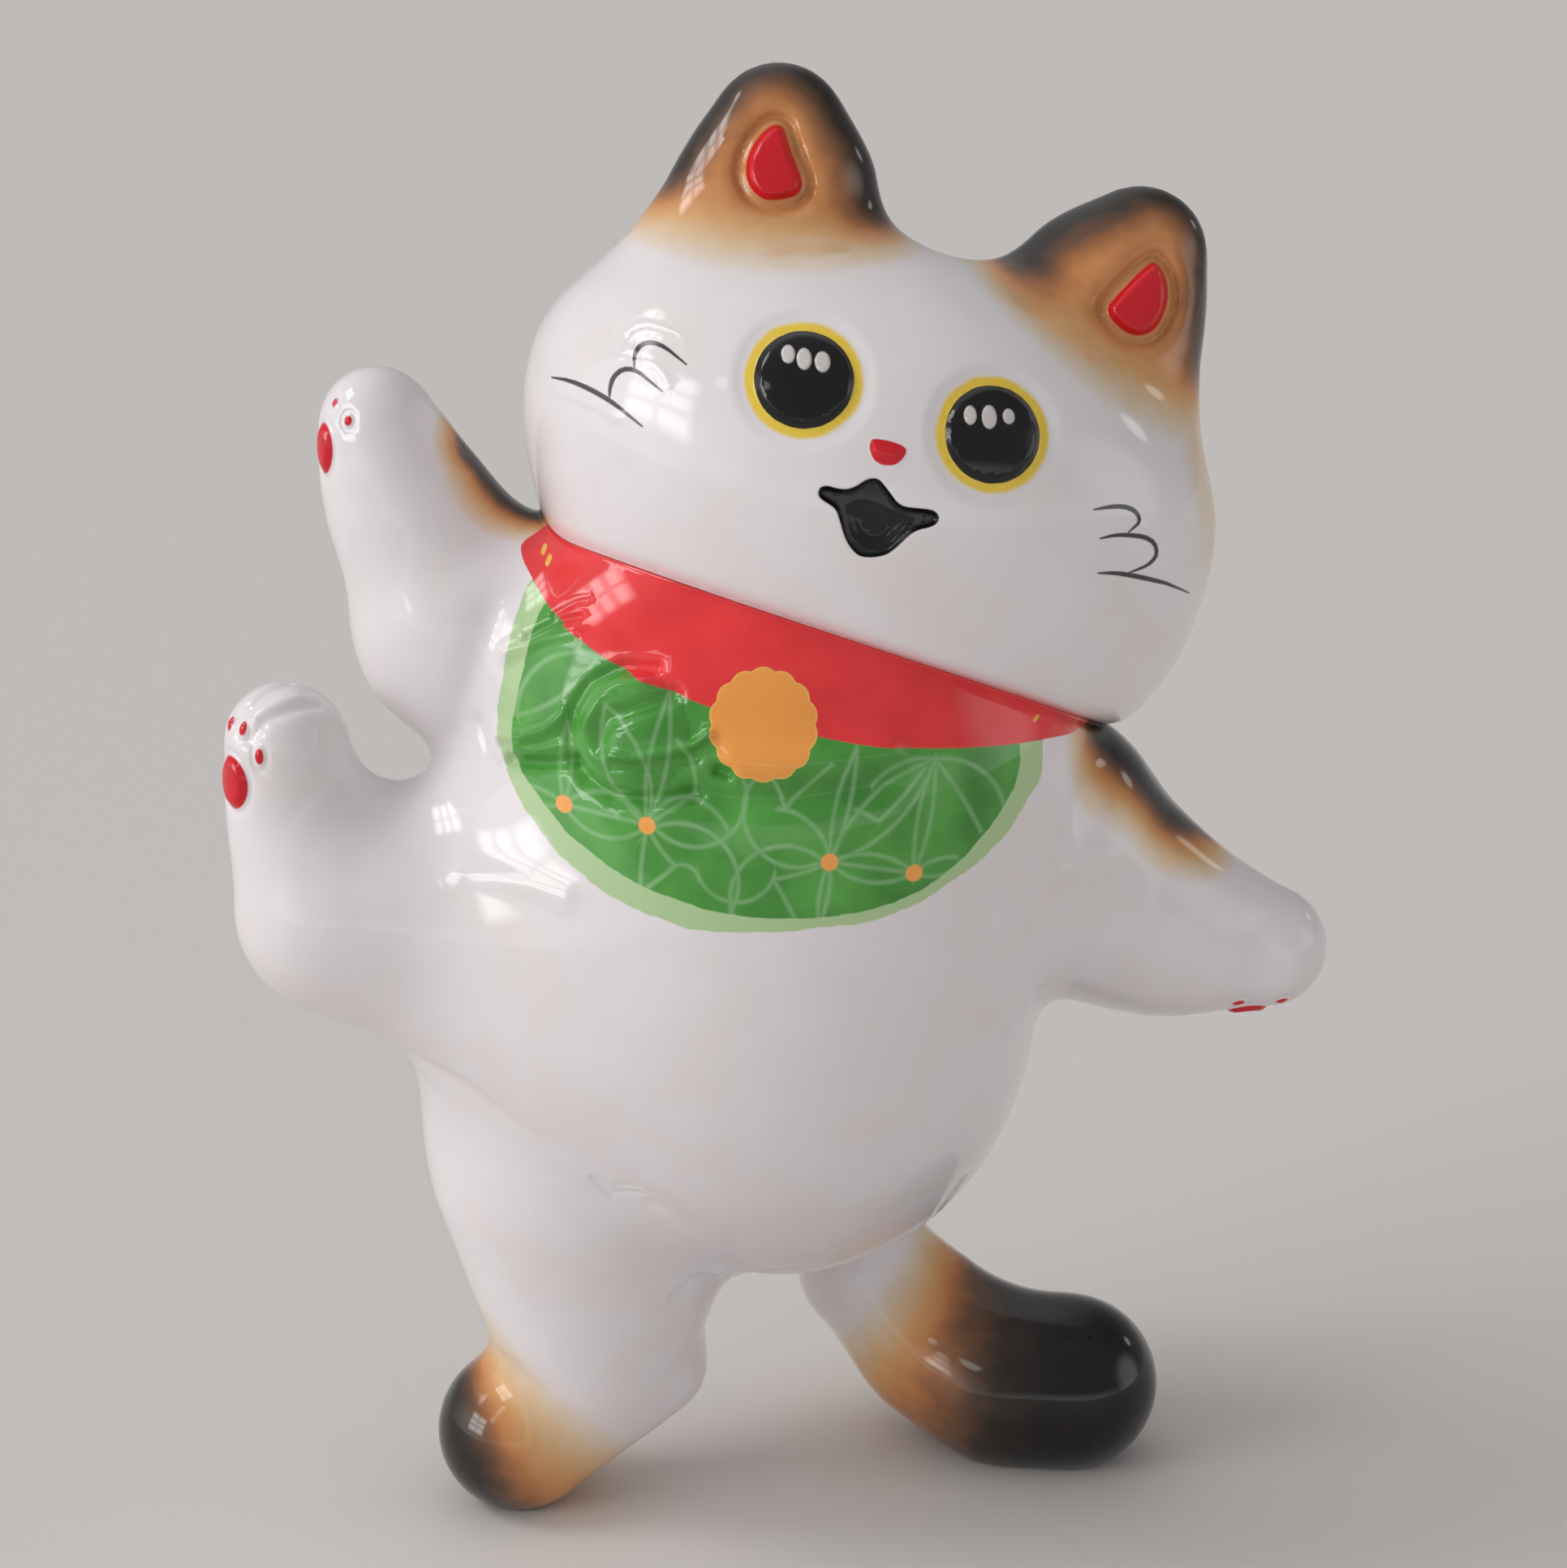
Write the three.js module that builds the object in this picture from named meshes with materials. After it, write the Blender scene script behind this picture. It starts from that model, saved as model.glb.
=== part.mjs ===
// Dancing lucky cat figurine of glazed ceramic, cast as one piece.
// It stands on the toes of one foot and on the tip of its tail, kicks the other leg and raises a paw.
// Millimetres, +Z up. The cat faces -Y, and the origin is on the floor under the middle of the figure.
import * as THREE from 'three';

// Driving dimensions
const figureHeight = 180;      // floor to the tip of the higher ear
const modelledHeight = 179.0;  // the same height in the lobes below
const floorZ = 0;              // the foot and the tail are cut flat here

// Triangle sizes
const gridLow = [-75, -50, -7];
const gridHigh = [75, 50, 188];
const gridStep = 4.5;          // plain stretches
const fineEdge = 2.6;          // longest edge on the moulded details
const detailMargin = 1.6;      // how far the fine edges reach around a detail of the face
const bossMargin = 0.5;        // and around a raised detail of the body
const soleEdge = 1.8;          // longest edge around the flat soles
const soleBand = 1.5;          // height over the floor that counts as around the soles
const splitPasses = 2;

// Steps of the search for the surface
const slopeStep = 0.05;        // distance over which the slope is measured
const leastSteep = 0.1;        // slopes are taken to be no flatter than this, squared
const searchRounds = 4;
const floorSnap = 0.03;        // points nearer to the floor than this are put on it

// A lobe is a ball; limbs are chains of lobes joined by cones
const lobe = (x, y, z, radius) => ({ at: [x, y, z], radius });

const raisedArm = {
  lobes: [lobe(-38.6, 0.2, 115.5, 14), lobe(-45.9, -0.8, 130.4, 7.2), lobe(-48.4, -1.8, 138.9, 6.4)],
  inner: 8,
  join: 7.7,
};
const loweredArm = {
  lobes: [lobe(28.3, 1.2, 85.5, 18.5), lobe(45.9, 1.2, 75.6, 9.6), lobe(58.9, 1.2, 72.6, 7.6)],
  inner: 8,
  join: 3.6,
};
const kickedLeg = {
  lobes: [lobe(-29.9, -5.8, 76.3, 14.8), lobe(-53.4, -10.8, 81.6, 10.8),
    lobe(-58.7, -11.8, 94.2, 5.6), lobe(-59.2, -12.8, 103.2, 6.8)],
  inner: 8,
  join: 21,
};
const standingLeg = {
  lobes: [lobe(-23.9, -2.8, 48, 21.1), lobe(-24.5, -2.8, 23.1, 12.9)],
  inner: 4,
  join: 4,
};
const standingFoot = {
  lobes: [lobe(-16.3, -1.9, 16.7, 5.6), lobe(-34.3, -3.9, 9.1, 10.4)],
  inner: 4,
  join: 4.8,
};
const tail = {
  lobes: [lobe(10.5, 17.3, 21.9, 9.3), lobe(19.7, 14.2, 12.6, 9.3), lobe(28.1, 9.2, 9.4, 9.9),
    lobe(36.8, 7.2, 10, 11.3)],
  inner: 6,
  join: 4,
};

// Egg shapes of the trunk
const belly = { at: [-4.6, -3.8, 71.8], half: [34.4, 32.5, 31.6] };
const rump = { at: [-0.6, 8.2, 56], half: [27.8, 27, 28], join: 14 };
const chest = { at: [0, 0, -34], half: [36.5, 27.5, 30], top: -18.8, join: 16 };  // in the head's own axes

// Head, in its own axes: x to its left side, y to the back, z to the top
const head = {
  at: [9.9, 3.7, 133.6],
  pitch: 15,                   // degrees leaning back
  tilt: 18,                    // degrees over to its left shoulder
  turn: 4.5,                   // degrees round to its left
  halfWidth: 42.3,
  halfDepth: 33,
  crown: 25,                   // centre to the top of the skull
  throat: 32.4,                // centre to where the skull would close below
  jaw: { at: [3.8, 0, -10.3], half: [37.8, 30, 26.2], join: 6 },
  chin: -21.9,                 // flat underside
  chinRound: 2,
};
const ear = {
  root: { x: 21, z: 18.5, radius: 12.8 },
  middle: { x: 20.5, z: 25, radius: 11.3 },
  tip: { x: 22.5, z: 32.2, radius: 8 },
  y: -4,                       // middle of the ear's thickness
  thickness: 0.7,              // thickness over width
  inner: 3,
  join: 6.5,
};

// Moulded details of the face, placed by x and z in the head's axes
const faceFront = -6;          // they lie in front of this y of the head
const eyes = [{ x: -12.3, z: 3.5 }, { x: 9.35, z: 4.3 }];
const eye = { ball: 6.3, rise: 0.55, rimRadius: 6.9, rimWidth: 0.9, rimDepth: 0.5 };
const nose = { x: -1.4, z: -1.5, radius: 2.6, rise: 0.5 };
const mouth = {
  strokes: [
    { from: [-6.3, -7.7, 0.8], to: [-3.7, -7.7, 1.4] },      // x, z and half width of each end
    { from: [5.8, -6.8, 0.8], to: [3.3, -7.5, 1.5] },
    { from: [-1.4, -5.6, 1.2], to: [-0.8, -8.0, 2.8] },
    { from: [-0.7, -8.7, 3.1], to: [-0.3, -11.1, 1.9] },
  ],
  depth: 0.9,
  inside: 0.3,                 // the slope starts this far inside the strokes
  edge: 0.9,                   // and is at its full depth this far inside
};
const earPatches = [
  { from: [-22.8, 30.9, 0.9], to: [-21.7, 26.4, 3.0] },
  { from: [24.3, 30.0, 0.9], to: [23.1, 25.2, 3.2] },
];
const earDish = { depth: 0.7, groove: 0.8, slope: 1.2, width: 3.4 };

// Moulded details of the body: a bell under the chin, and soft pads on three paws
const bell = { at: [-17.6, -27.6, 108.2], radius: 7.2, rise: 2.6 };
const pads = [
  { at: [-54.1, -5.4, 136.3], radius: 3.4, rise: 0.5 },
  { at: [-50.9, -7.8, 140], radius: 1.7, rise: 0.4 },
  { at: [-52.6, -5.7, 141.7], radius: 1.7, rise: 0.4 },
  { at: [-64.6, -16.9, 99.2], radius: 3.6, rise: 0.6 },
  { at: [-61.1, -19.4, 103], radius: 2, rise: 0.5 },
  { at: [-63.1, -17.6, 105.9], radius: 2, rise: 0.5 },
  { at: [-64.9, -15.3, 105.8], radius: 1.9, rise: 0.5 },
  { at: [56.6, -1, 65.3], radius: 3.2, rise: 0.5 },
];

// Smooth union: the two surfaces flow together over the width k
function blend(a, b, k) {
  const overlap = Math.max(k - Math.abs(a - b), 0) / k;
  return Math.min(a, b) - overlap * overlap * k / 4;
}

// 1 at the middle of a bump, falling smoothly to 0 at its edge
function bump(distance, radius) {
  const t = Math.min(distance / radius, 1);
  return (1 - t * t) ** 2;
}

function eggDistance(p, half) {
  const scaled = Math.hypot(p[0] / half[0], p[1] / half[1], p[2] / half[2]);
  const slope = Math.hypot(p[0] / half[0] ** 2, p[1] / half[1] ** 2, p[2] / half[2] ** 2);
  return scaled * (scaled - 1) / Math.max(slope, 1e-9);
}

// Distance to two balls and the cone that touches them both
function coneDistance(p, a, b) {
  const axis = [b.at[0] - a.at[0], b.at[1] - a.at[1], b.at[2] - a.at[2]];
  const length = Math.hypot(...axis);
  const rel = [p[0] - a.at[0], p[1] - a.at[1], p[2] - a.at[2]];
  const along = (rel[0] * axis[0] + rel[1] * axis[1] + rel[2] * axis[2]) / length;
  const away = Math.sqrt(Math.max(rel[0] ** 2 + rel[1] ** 2 + rel[2] ** 2 - along * along, 0));
  const sin = (a.radius - b.radius) / length;
  const cos = Math.sqrt(Math.max(1 - sin * sin, 0));
  const foot = along * cos - away * sin;                     // place along the cone's side
  if (foot < 0) return Math.hypot(along, away) - a.radius;
  if (foot > length * cos) return Math.hypot(along - length, away) - b.radius;
  return away * cos + along * sin - a.radius;
}

function limbDistance(p, limb) {
  let distance = coneDistance(p, limb.lobes[0], limb.lobes[1]);
  for (let i = 2; i < limb.lobes.length; i += 1) {
    distance = blend(distance, coneDistance(p, limb.lobes[i - 1], limb.lobes[i]), limb.inner);
  }
  return distance;
}

const radians = THREE.MathUtils.degToRad;
const headTurn = new THREE.Matrix4().makeRotationFromEuler(
  new THREE.Euler(-radians(head.pitch), radians(head.tilt), radians(head.turn), 'XYZ'));
const headAxes = [0, 1, 2].map((column) => {
  const axis = new THREE.Vector3().setFromMatrixColumn(headTurn, column);
  return axis.toArray();
});

// A point of the figure in the head's own axes
function toHead(p) {
  const rel = [p[0] - head.at[0], p[1] - head.at[1], p[2] - head.at[2]];
  return headAxes.map((axis) => rel[0] * axis[0] + rel[1] * axis[1] + rel[2] * axis[2]);
}

const earLobes = [ear.root, ear.middle, ear.tip].map(({ x, z, radius }) => lobe(x, ear.y, z, radius));

function earDistance(q, side) {
  const flat = [q[0] * side, ear.y + (q[1] - ear.y) / ear.thickness, q[2]];
  return limbDistance(flat, { lobes: earLobes, inner: ear.inner }) * ear.thickness;
}

// Distance in the face's plane to a stroke that widens from one end to the other
function strokeDistance(q, stroke) {
  const [fromX, fromZ, fromRadius] = stroke.from;
  const [toX, toZ, toRadius] = stroke.to;
  return coneDistance([q[0], 0, q[2]], lobe(fromX, 0, fromZ, fromRadius), lobe(toX, 0, toZ, toRadius));
}

// Height of the moulded details over the plain skull, on its front only
function faceRelief(q) {
  if (q[1] > faceFront) return 0;
  let height = 0;
  for (const place of eyes) {
    const r = Math.hypot(q[0] - place.x, q[2] - place.z);
    height += eye.rise * bump(r, eye.ball);
    height -= eye.rimDepth * Math.exp(-(((r - eye.rimRadius) / eye.rimWidth) ** 2));
  }
  height += nose.rise * bump(Math.hypot(q[0] - nose.x, q[2] - nose.z), nose.radius);
  const lips = Math.min(...mouth.strokes.map((stroke) => strokeDistance(q, stroke)));
  height -= mouth.depth * THREE.MathUtils.smoothstep(-lips, -mouth.inside, mouth.edge);
  for (const patch of earPatches) {
    const edge = strokeDistance(q, patch);
    height -= earDish.depth * THREE.MathUtils.smoothstep(earDish.width - edge, 0, earDish.width);
    height += earDish.depth * THREE.MathUtils.smoothstep(earDish.groove - edge, 0, earDish.slope);
  }
  return height;
}

function bodyRelief(p) {
  let height = 0;
  for (const raised of [bell, ...pads]) {
    const [x, y, z] = raised.at;
    height += raised.rise * bump(Math.hypot(p[0] - x, p[1] - y, p[2] - z), raised.radius);
  }
  return height;
}

function headDistance(q) {
  const half = [head.halfWidth, head.halfDepth, q[2] > 0 ? head.crown : head.throat];
  let distance = eggDistance(q, half);
  const fromJaw = [q[0] - head.jaw.at[0], q[1] - head.jaw.at[1], q[2] - head.jaw.at[2]];
  distance = blend(distance, eggDistance(fromJaw, head.jaw.half), head.jaw.join);
  distance = blend(distance, earDistance(q, -1), ear.join);
  distance = blend(distance, earDistance(q, 1), ear.join);
  distance = -blend(-distance, q[2] - head.chin, head.chinRound);
  return distance - faceRelief(q);
}

function eggAt(p, egg) {
  return eggDistance([p[0] - egg.at[0], p[1] - egg.at[1], p[2] - egg.at[2]], egg.half);
}

function bodyDistance(p, q) {
  let distance = blend(eggAt(p, belly), eggAt(p, rump), rump.join);
  const chestCut = Math.max(eggAt(q, chest), q[2] - chest.top);
  distance = blend(distance, chestCut, chest.join);
  for (const limb of [standingLeg, standingFoot, tail, kickedLeg, raisedArm, loweredArm]) {
    distance = blend(distance, limbDistance(p, limb), limb.join);
  }
  return distance - bodyRelief(p);
}

// Signed distance to the whole figure, below 0 inside
function figureDistance(p) {
  const q = toHead(p);
  const distance = Math.min(bodyDistance(p, q), headDistance(q));
  return Math.max(distance, floorZ - p[2]);
}

function figureSlope(p) {
  return [0, 1, 2].map((axis) => {
    const ahead = [...p];
    const behind = [...p];
    ahead[axis] += slopeStep;
    behind[axis] -= slopeStep;
    return (figureDistance(ahead) - figureDistance(behind)) / (2 * slopeStep);
  });
}

// Moves a point along the slope until it lies on the surface
function ontoSurface(start) {
  let p = start;
  for (let i = 0; i < searchRounds; i += 1) {
    const slope = figureSlope(p);
    const steep = Math.max(slope[0] ** 2 + slope[1] ** 2 + slope[2] ** 2, leastSteep);
    const move = THREE.MathUtils.clamp(figureDistance(p) / steep, -gridStep, gridStep);
    p = p.map((value, axis) => value - slope[axis] * move);
  }
  if (Math.abs(p[2] - floorZ) < floorSnap) p[2] = floorZ;
  return p;
}

// The 8 corners and 12 edges of a grid cell; corner n holds x, y and z in its bits 0, 1 and 2
const cellCorners = [0, 1, 2, 3, 4, 5, 6, 7];
const cellEdges = [];
for (const corner of cellCorners) {
  for (const bit of [1, 2, 4]) {
    if (!(corner & bit)) cellEdges.push([corner, corner | bit]);
  }
}
const cellFaces = [];
for (const bit of [1, 2, 4]) {
  for (const side of [0, bit]) {
    cellFaces.push(cellCorners.filter((corner) => (corner & bit) === side));
  }
}

// For one pattern of inside corners, the group of surface that each crossed edge belongs to.
// A cell that two sheets pass through gets a vertex for each, which keeps the mesh a closed surface.
function edgeGroups(pattern) {
  const inside = (corner) => (pattern >> corner) & 1;
  const parent = cellEdges.map((_, edge) => edge);
  const find = (edge) => (parent[edge] === edge ? edge : find(parent[edge]));
  const crossed = cellEdges.map(([a, b]) => inside(a) !== inside(b));
  for (const corners of cellFaces) {
    const around = [];
    cellEdges.forEach(([a, b], edge) => {
      if (crossed[edge] && corners.includes(a) && corners.includes(b)) around.push(edge);
    });
    for (const first of around) {
      for (const second of around) {
        const shared = cellEdges[first].filter((corner) => cellEdges[second].includes(corner));
        const joined = around.length === 2 || shared.some((corner) => inside(corner));
        if (joined) parent[find(first)] = find(second);
      }
    }
  }
  return cellEdges.map((_, edge) => (crossed[edge] ? find(edge) : -1));
}
const patternCount = 2 ** cellCorners.length;
const groupTable = Array.from({ length: patternCount }, (_, pattern) => edgeGroups(pattern));

// Closed surface of the figure on a grid: one vertex in each crossed cell, one quad over each crossed edge
function meshOnGrid(low, high, step) {
  const count = low.map((value, axis) => Math.ceil((high[axis] - value) / step) + 1);
  const node = (i, j, k) => (i * count[1] + j) * count[2] + k;
  const field = new Float64Array(count[0] * count[1] * count[2]);
  for (let i = 0; i < count[0]; i += 1) {
    for (let j = 0; j < count[1]; j += 1) {
      for (let k = 0; k < count[2]; k += 1) {
        field[node(i, j, k)] = figureDistance([low[0] + i * step, low[1] + j * step, low[2] + k * step]);
      }
    }
  }
  const points = [];
  const vertexOf = new Map();
  const quads = new Map();
  for (let i = 0; i < count[0] - 1; i += 1) {
    for (let j = 0; j < count[1] - 1; j += 1) {
      for (let k = 0; k < count[2] - 1; k += 1) {
        const corners = cellCorners.map((n) => [i + (n & 1), j + ((n >> 1) & 1), k + ((n >> 2) & 1)]);
        const values = corners.map((corner) => field[node(...corner)]);
        let pattern = 0;
        values.forEach((value, n) => {
          if (value < 0) pattern |= 1 << n;
        });
        if (pattern === 0 || pattern === patternCount - 1) continue;
        const sums = new Map();
        groupTable[pattern].forEach((group, edge) => {
          if (group < 0) return;
          const [a, b] = cellEdges[edge];
          const t = values[a] / (values[a] - values[b]);
          const sum = sums.get(group) ?? [0, 0, 0, 0];
          corners[a].forEach((value, axis) => {
            sum[axis] += value + t * (corners[b][axis] - value);
          });
          sum[3] += 1;
          sums.set(group, sum);
        });
        for (const [group, sum] of sums) {
          vertexOf.set(`${node(i, j, k)}/${group}`, points.length);
          points.push([0, 1, 2].map((axis) => low[axis] + step * sum[axis] / sum[3]));
        }
        groupTable[pattern].forEach((group, edge) => {
          if (group < 0) return;
          const [a, b] = cellEdges[edge];
          const axis = Math.log2(b - a);
          const key = node(...corners[a]) * 3 + axis;
          const quad = quads.get(key) ?? { axis, outward: values[a] < 0, ring: [] };
          const u = (a >> ((axis + 1) % 3)) & 1;
          const v = (a >> ((axis + 2) % 3)) & 1;
          const turnPlace = [[2, 1], [3, 0]][u][v];
          quad.ring[turnPlace] = vertexOf.get(`${node(i, j, k)}/${group}`);
          quads.set(key, quad);
        });
      }
    }
  }
  const surface = points.map(ontoSurface);
  const triangles = [];
  for (const quad of quads.values()) {
    const [a, b, c, d] = quad.outward ? quad.ring : [...quad.ring].reverse();
    const span = (m, n) => Math.hypot(...[0, 1, 2].map((axis) => surface[m][axis] - surface[n][axis]));
    if (span(a, c) <= span(b, d)) triangles.push([a, b, c], [a, c, d]);
    else triangles.push([a, b, d], [b, c, d]);
  }
  return { points: surface, triangles };
}

// Longest edge allowed at a point: shorter on the moulded details and around the soles
function allowedEdge(p) {
  const q = toHead(p);
  if (q[1] < faceFront && q[2] > head.chin) {
    const eyeReach = eye.rimRadius + detailMargin;
    const nearEye = eyes.some((place) => Math.hypot(q[0] - place.x, q[2] - place.z) < eyeReach);
    const strokes = [...mouth.strokes, ...earPatches];
    if (nearEye || strokes.some((stroke) => strokeDistance(q, stroke) < detailMargin)) return fineEdge;
  }
  for (const raised of [bell, ...pads]) {
    const [x, y, z] = raised.at;
    if (Math.hypot(p[0] - x, p[1] - y, p[2] - z) < raised.radius + bossMargin) return fineEdge;
  }
  return p[2] < floorZ + soleBand ? soleEdge : Infinity;
}

// Splits every edge that is too long, and each triangle beside it, so that no gap opens
function refine(mesh) {
  const { points } = mesh;
  const middles = new Map();
  const middleOf = (a, b) => {
    const key = a < b ? `${a}/${b}` : `${b}/${a}`;
    if (!middles.has(key)) {
      const middle = points[a].map((value, axis) => (value + points[b][axis]) / 2);
      const length = Math.hypot(...[0, 1, 2].map((axis) => points[a][axis] - points[b][axis]));
      const tooLong = length > allowedEdge(middle);
      middles.set(key, tooLong ? points.length : -1);
      if (tooLong) points.push(ontoSurface(middle));
    }
    return middles.get(key);
  };
  const triangles = [];
  for (const [a, b, c] of mesh.triangles) {
    const mids = [middleOf(a, b), middleOf(b, c), middleOf(c, a)];
    const corners = [a, b, c];
    const split = mids.filter((mid) => mid >= 0).length;
    if (split === 0) {
      triangles.push(corners);
    } else if (split === 3) {
      triangles.push([a, mids[0], mids[2]], [b, mids[1], mids[0]], [c, mids[2], mids[1]], mids);
    } else {
      // turn the triangle until its whole edge comes last, or its one split edge first
      const turn = split === 1 ? mids.findIndex((mid) => mid >= 0) : (mids.indexOf(-1) + 1) % 3;
      const [p0, p1, p2] = [0, 1, 2].map((n) => corners[(n + turn) % 3]);
      const [m0, m1] = [0, 1].map((n) => mids[(n + turn) % 3]);
      if (split === 1) triangles.push([p0, m0, p2], [m0, p1, p2]);
      else triangles.push([m0, p1, m1], [p0, m0, m1], [p0, m1, p2]);
    }
  }
  return { points, triangles };
}

function figureGeometry() {
  let mesh = meshOnGrid(gridLow, gridHigh, gridStep);
  for (let pass = 0; pass < splitPasses; pass += 1) mesh = refine(mesh);
  const geometry = new THREE.BufferGeometry();
  geometry.setAttribute('position', new THREE.Float32BufferAttribute(mesh.points.flat(), 3));
  geometry.setIndex(mesh.triangles.flat());
  const realScale = figureHeight / modelledHeight;
  geometry.scale(realScale, realScale, realScale);
  geometry.computeVertexNormals();
  return geometry;
}

const whiteGlaze = new THREE.MeshStandardMaterial({ color: 0xe9e4df, roughness: 0.12, metalness: 0 });
const luckyCat = new THREE.Mesh(figureGeometry(), whiteGlaze);
luckyCat.name = 'lucky_cat';

const figurine = new THREE.Group();
figurine.add(luckyCat);

export default figurine;
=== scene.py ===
import math
from functools import reduce

import bpy
import numpy as np
from mathutils import Euler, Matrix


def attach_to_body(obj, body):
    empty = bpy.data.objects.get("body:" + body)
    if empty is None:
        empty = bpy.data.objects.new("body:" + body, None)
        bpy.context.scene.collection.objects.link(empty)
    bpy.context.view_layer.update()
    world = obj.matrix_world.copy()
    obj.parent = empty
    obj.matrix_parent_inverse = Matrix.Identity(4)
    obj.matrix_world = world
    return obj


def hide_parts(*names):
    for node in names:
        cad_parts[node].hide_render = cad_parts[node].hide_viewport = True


# Dancing lucky cat of glazed ceramic, cast in one piece.
# The glazed skin is one mesh: the same balls, cones and eggs as the CAD solid, meshed finer, with its
# low relief, and then painted. Lengths are millimetres until the mesh is made; the cat faces -Y.

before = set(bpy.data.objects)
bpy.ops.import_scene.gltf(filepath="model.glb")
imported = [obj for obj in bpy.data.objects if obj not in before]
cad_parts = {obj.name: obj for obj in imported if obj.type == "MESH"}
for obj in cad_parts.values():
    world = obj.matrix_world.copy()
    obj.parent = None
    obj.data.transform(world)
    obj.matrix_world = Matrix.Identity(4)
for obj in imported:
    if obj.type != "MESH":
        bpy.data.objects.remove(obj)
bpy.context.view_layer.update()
print("frame loaded:", ", ".join(sorted(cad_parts)))


# The body, as balls joined by cones

figure = {
    "height": 180.0,  # floor to the tip of the higher ear
    "modelledHeight": 179.0,  # the same height in the numbers below
    "gridStep": 1.25,  # mesh size on plain stretches
    "coarse": 4,  # grid steps in a step of the rough grid that finds the surface first
    "batch": 100000,  # grid points worked out at a time
    "longestMove": 1.5,  # of a point on its way onto the surface
    "floorSnap": 0.02,  # points this near to the floor are put on it
    "low": (-75, -50, -7),  # box that the grid fills
    "high": (75, 50, 188),
    "seam": 0.7,  # glaze filling the seam between the head and the body
}

limbs = {
    # how one lobe is smoothed into the next, how the limb joins the body, and lobes: x, y, z and radius
    "standing leg": (4, 4, [(-23.9, -2.8, 48, 21.1), (-24.5, -2.8, 23.1, 12.9)]),
    "standing foot": (4, 4.8, [(-16.3, -1.9, 16.7, 5.6), (-34.3, -3.9, 9.1, 10.4)]),
    "tail": (6, 4, [(10.5, 17.3, 21.9, 9.3), (19.7, 14.2, 12.6, 9.3), (28.1, 9.2, 9.4, 9.9),
        (36.8, 7.2, 10, 11.3)]),
    "kicked leg": (8, 21, [(-29.9, -5.8, 76.3, 14.8), (-53.4, -10.8, 81.6, 10.8),
        (-58.7, -11.8, 94.2, 5.6), (-59.2, -12.8, 103.2, 6.8)]),
    "raised arm": (8, 7.7, [(-38.6, 0.2, 115.5, 14), (-45.9, -0.8, 130.4, 7.2), (-48.4, -1.8, 138.9, 6.4)]),
    "lowered arm": (8, 3.6, [(28.3, 1.2, 85.5, 18.5), (45.9, 1.2, 75.6, 9.6), (58.9, 1.2, 72.6, 7.6)]),
}

trunk = {
    "belly": {"at": (-4.6, -3.8, 71.8), "half": (34.4, 32.5, 31.6)},
    "rump": {"at": (-0.6, 8.2, 56), "half": (27.8, 27, 28), "join": 14},
    "chest": {"at": (0, 0, -34), "half": (36.5, 27.5, 30), "top": -18.8, "join": 16},  # in the head's axes
}

head = {
    "at": (9.9, 3.7, 133.6),
    "lean": (-15, 18, 4.5),  # degrees: back, over to its left shoulder, round to its left
    "half": (42.3, 33.0),  # half width and half depth
    "crown": 25.0,
    "throat": 32.4,
    "jaw": {"at": (3.8, 0, -10.3), "half": (37.8, 30, 26.2), "join": 6},
    "chin": -21.9,
    "chinRound": 2.0,
    "ear": [(21, -4, 18.5, 12.8), (20.5, -4, 25, 11.3), (22.5, -4, 32.2, 8)],
    "earThickness": 0.7,
    "earInner": 3.0,
    "earJoin": 6.5,
    "faceFront": -6.0,  # the face's details lie in front of this y of the head
}


def smoothStep(value, low, high):
    t = np.clip((value - low) / (high - low), 0, 1)
    return t * t * (3 - 2 * t)


def blend(a, b, width):
    overlap = np.maximum(width - np.abs(a - b), 0) / width
    return np.minimum(a, b) - overlap * overlap * width / 4


def eggDistance(points, half):
    scaled = np.sqrt(((points / half) ** 2).sum(1))
    slope = np.sqrt(((points / half ** 2) ** 2).sum(1))
    return scaled * (scaled - 1) / np.maximum(slope, 1e-9)


def eggAt(points, egg):
    return eggDistance(points - np.array(egg["at"]), np.array(egg["half"], float))


def coneDistance(points, a, b):  # two balls and the cone that touches both
    start = np.array(a[:3], float)
    axis = np.array(b[:3], float) - start
    length = np.linalg.norm(axis)
    rel = points - start
    along = rel @ (axis / length)
    away = np.sqrt(np.maximum((rel * rel).sum(1) - along * along, 0))
    sin = (a[3] - b[3]) / length
    cos = math.sqrt(1 - sin * sin)
    foot = along * cos - away * sin
    side = away * cos + along * sin - a[3]
    low = np.hypot(along, away) - a[3]
    high = np.hypot(along - length, away) - b[3]
    return np.where(foot < 0, low, np.where(foot > length * cos, high, side))


def limbDistance(points, lobes, inner):
    distance = coneDistance(points, lobes[0], lobes[1])
    for a, b in zip(lobes[1:], lobes[2:]):
        distance = blend(distance, coneDistance(points, a, b), inner)
    return distance


headTurn = np.array(Euler([math.radians(angle) for angle in head["lean"]], "ZYX").to_matrix())


def toHead(points):
    return (points - np.array(head["at"])) @ headTurn


def earDistance(q, side):
    middle = head["ear"][0][1]
    flat = np.stack([q[:, 0] * side, middle + (q[:, 1] - middle) / head["earThickness"], q[:, 2]], 1)
    return limbDistance(flat, head["ear"], head["earInner"]) * head["earThickness"]


# Outlines that are drawn on the face

def roundedOutline(corners, passes=2):  # cuts the corners of a closed outline until it is smooth
    ring = np.array(corners, float)
    for _ in range(passes):
        ahead = np.roll(ring, -1, axis=0)
        ring = np.stack([ring * 0.75 + ahead * 0.25, ring * 0.25 + ahead * 0.75], 1).reshape(-1, 2)
    return ring


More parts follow.
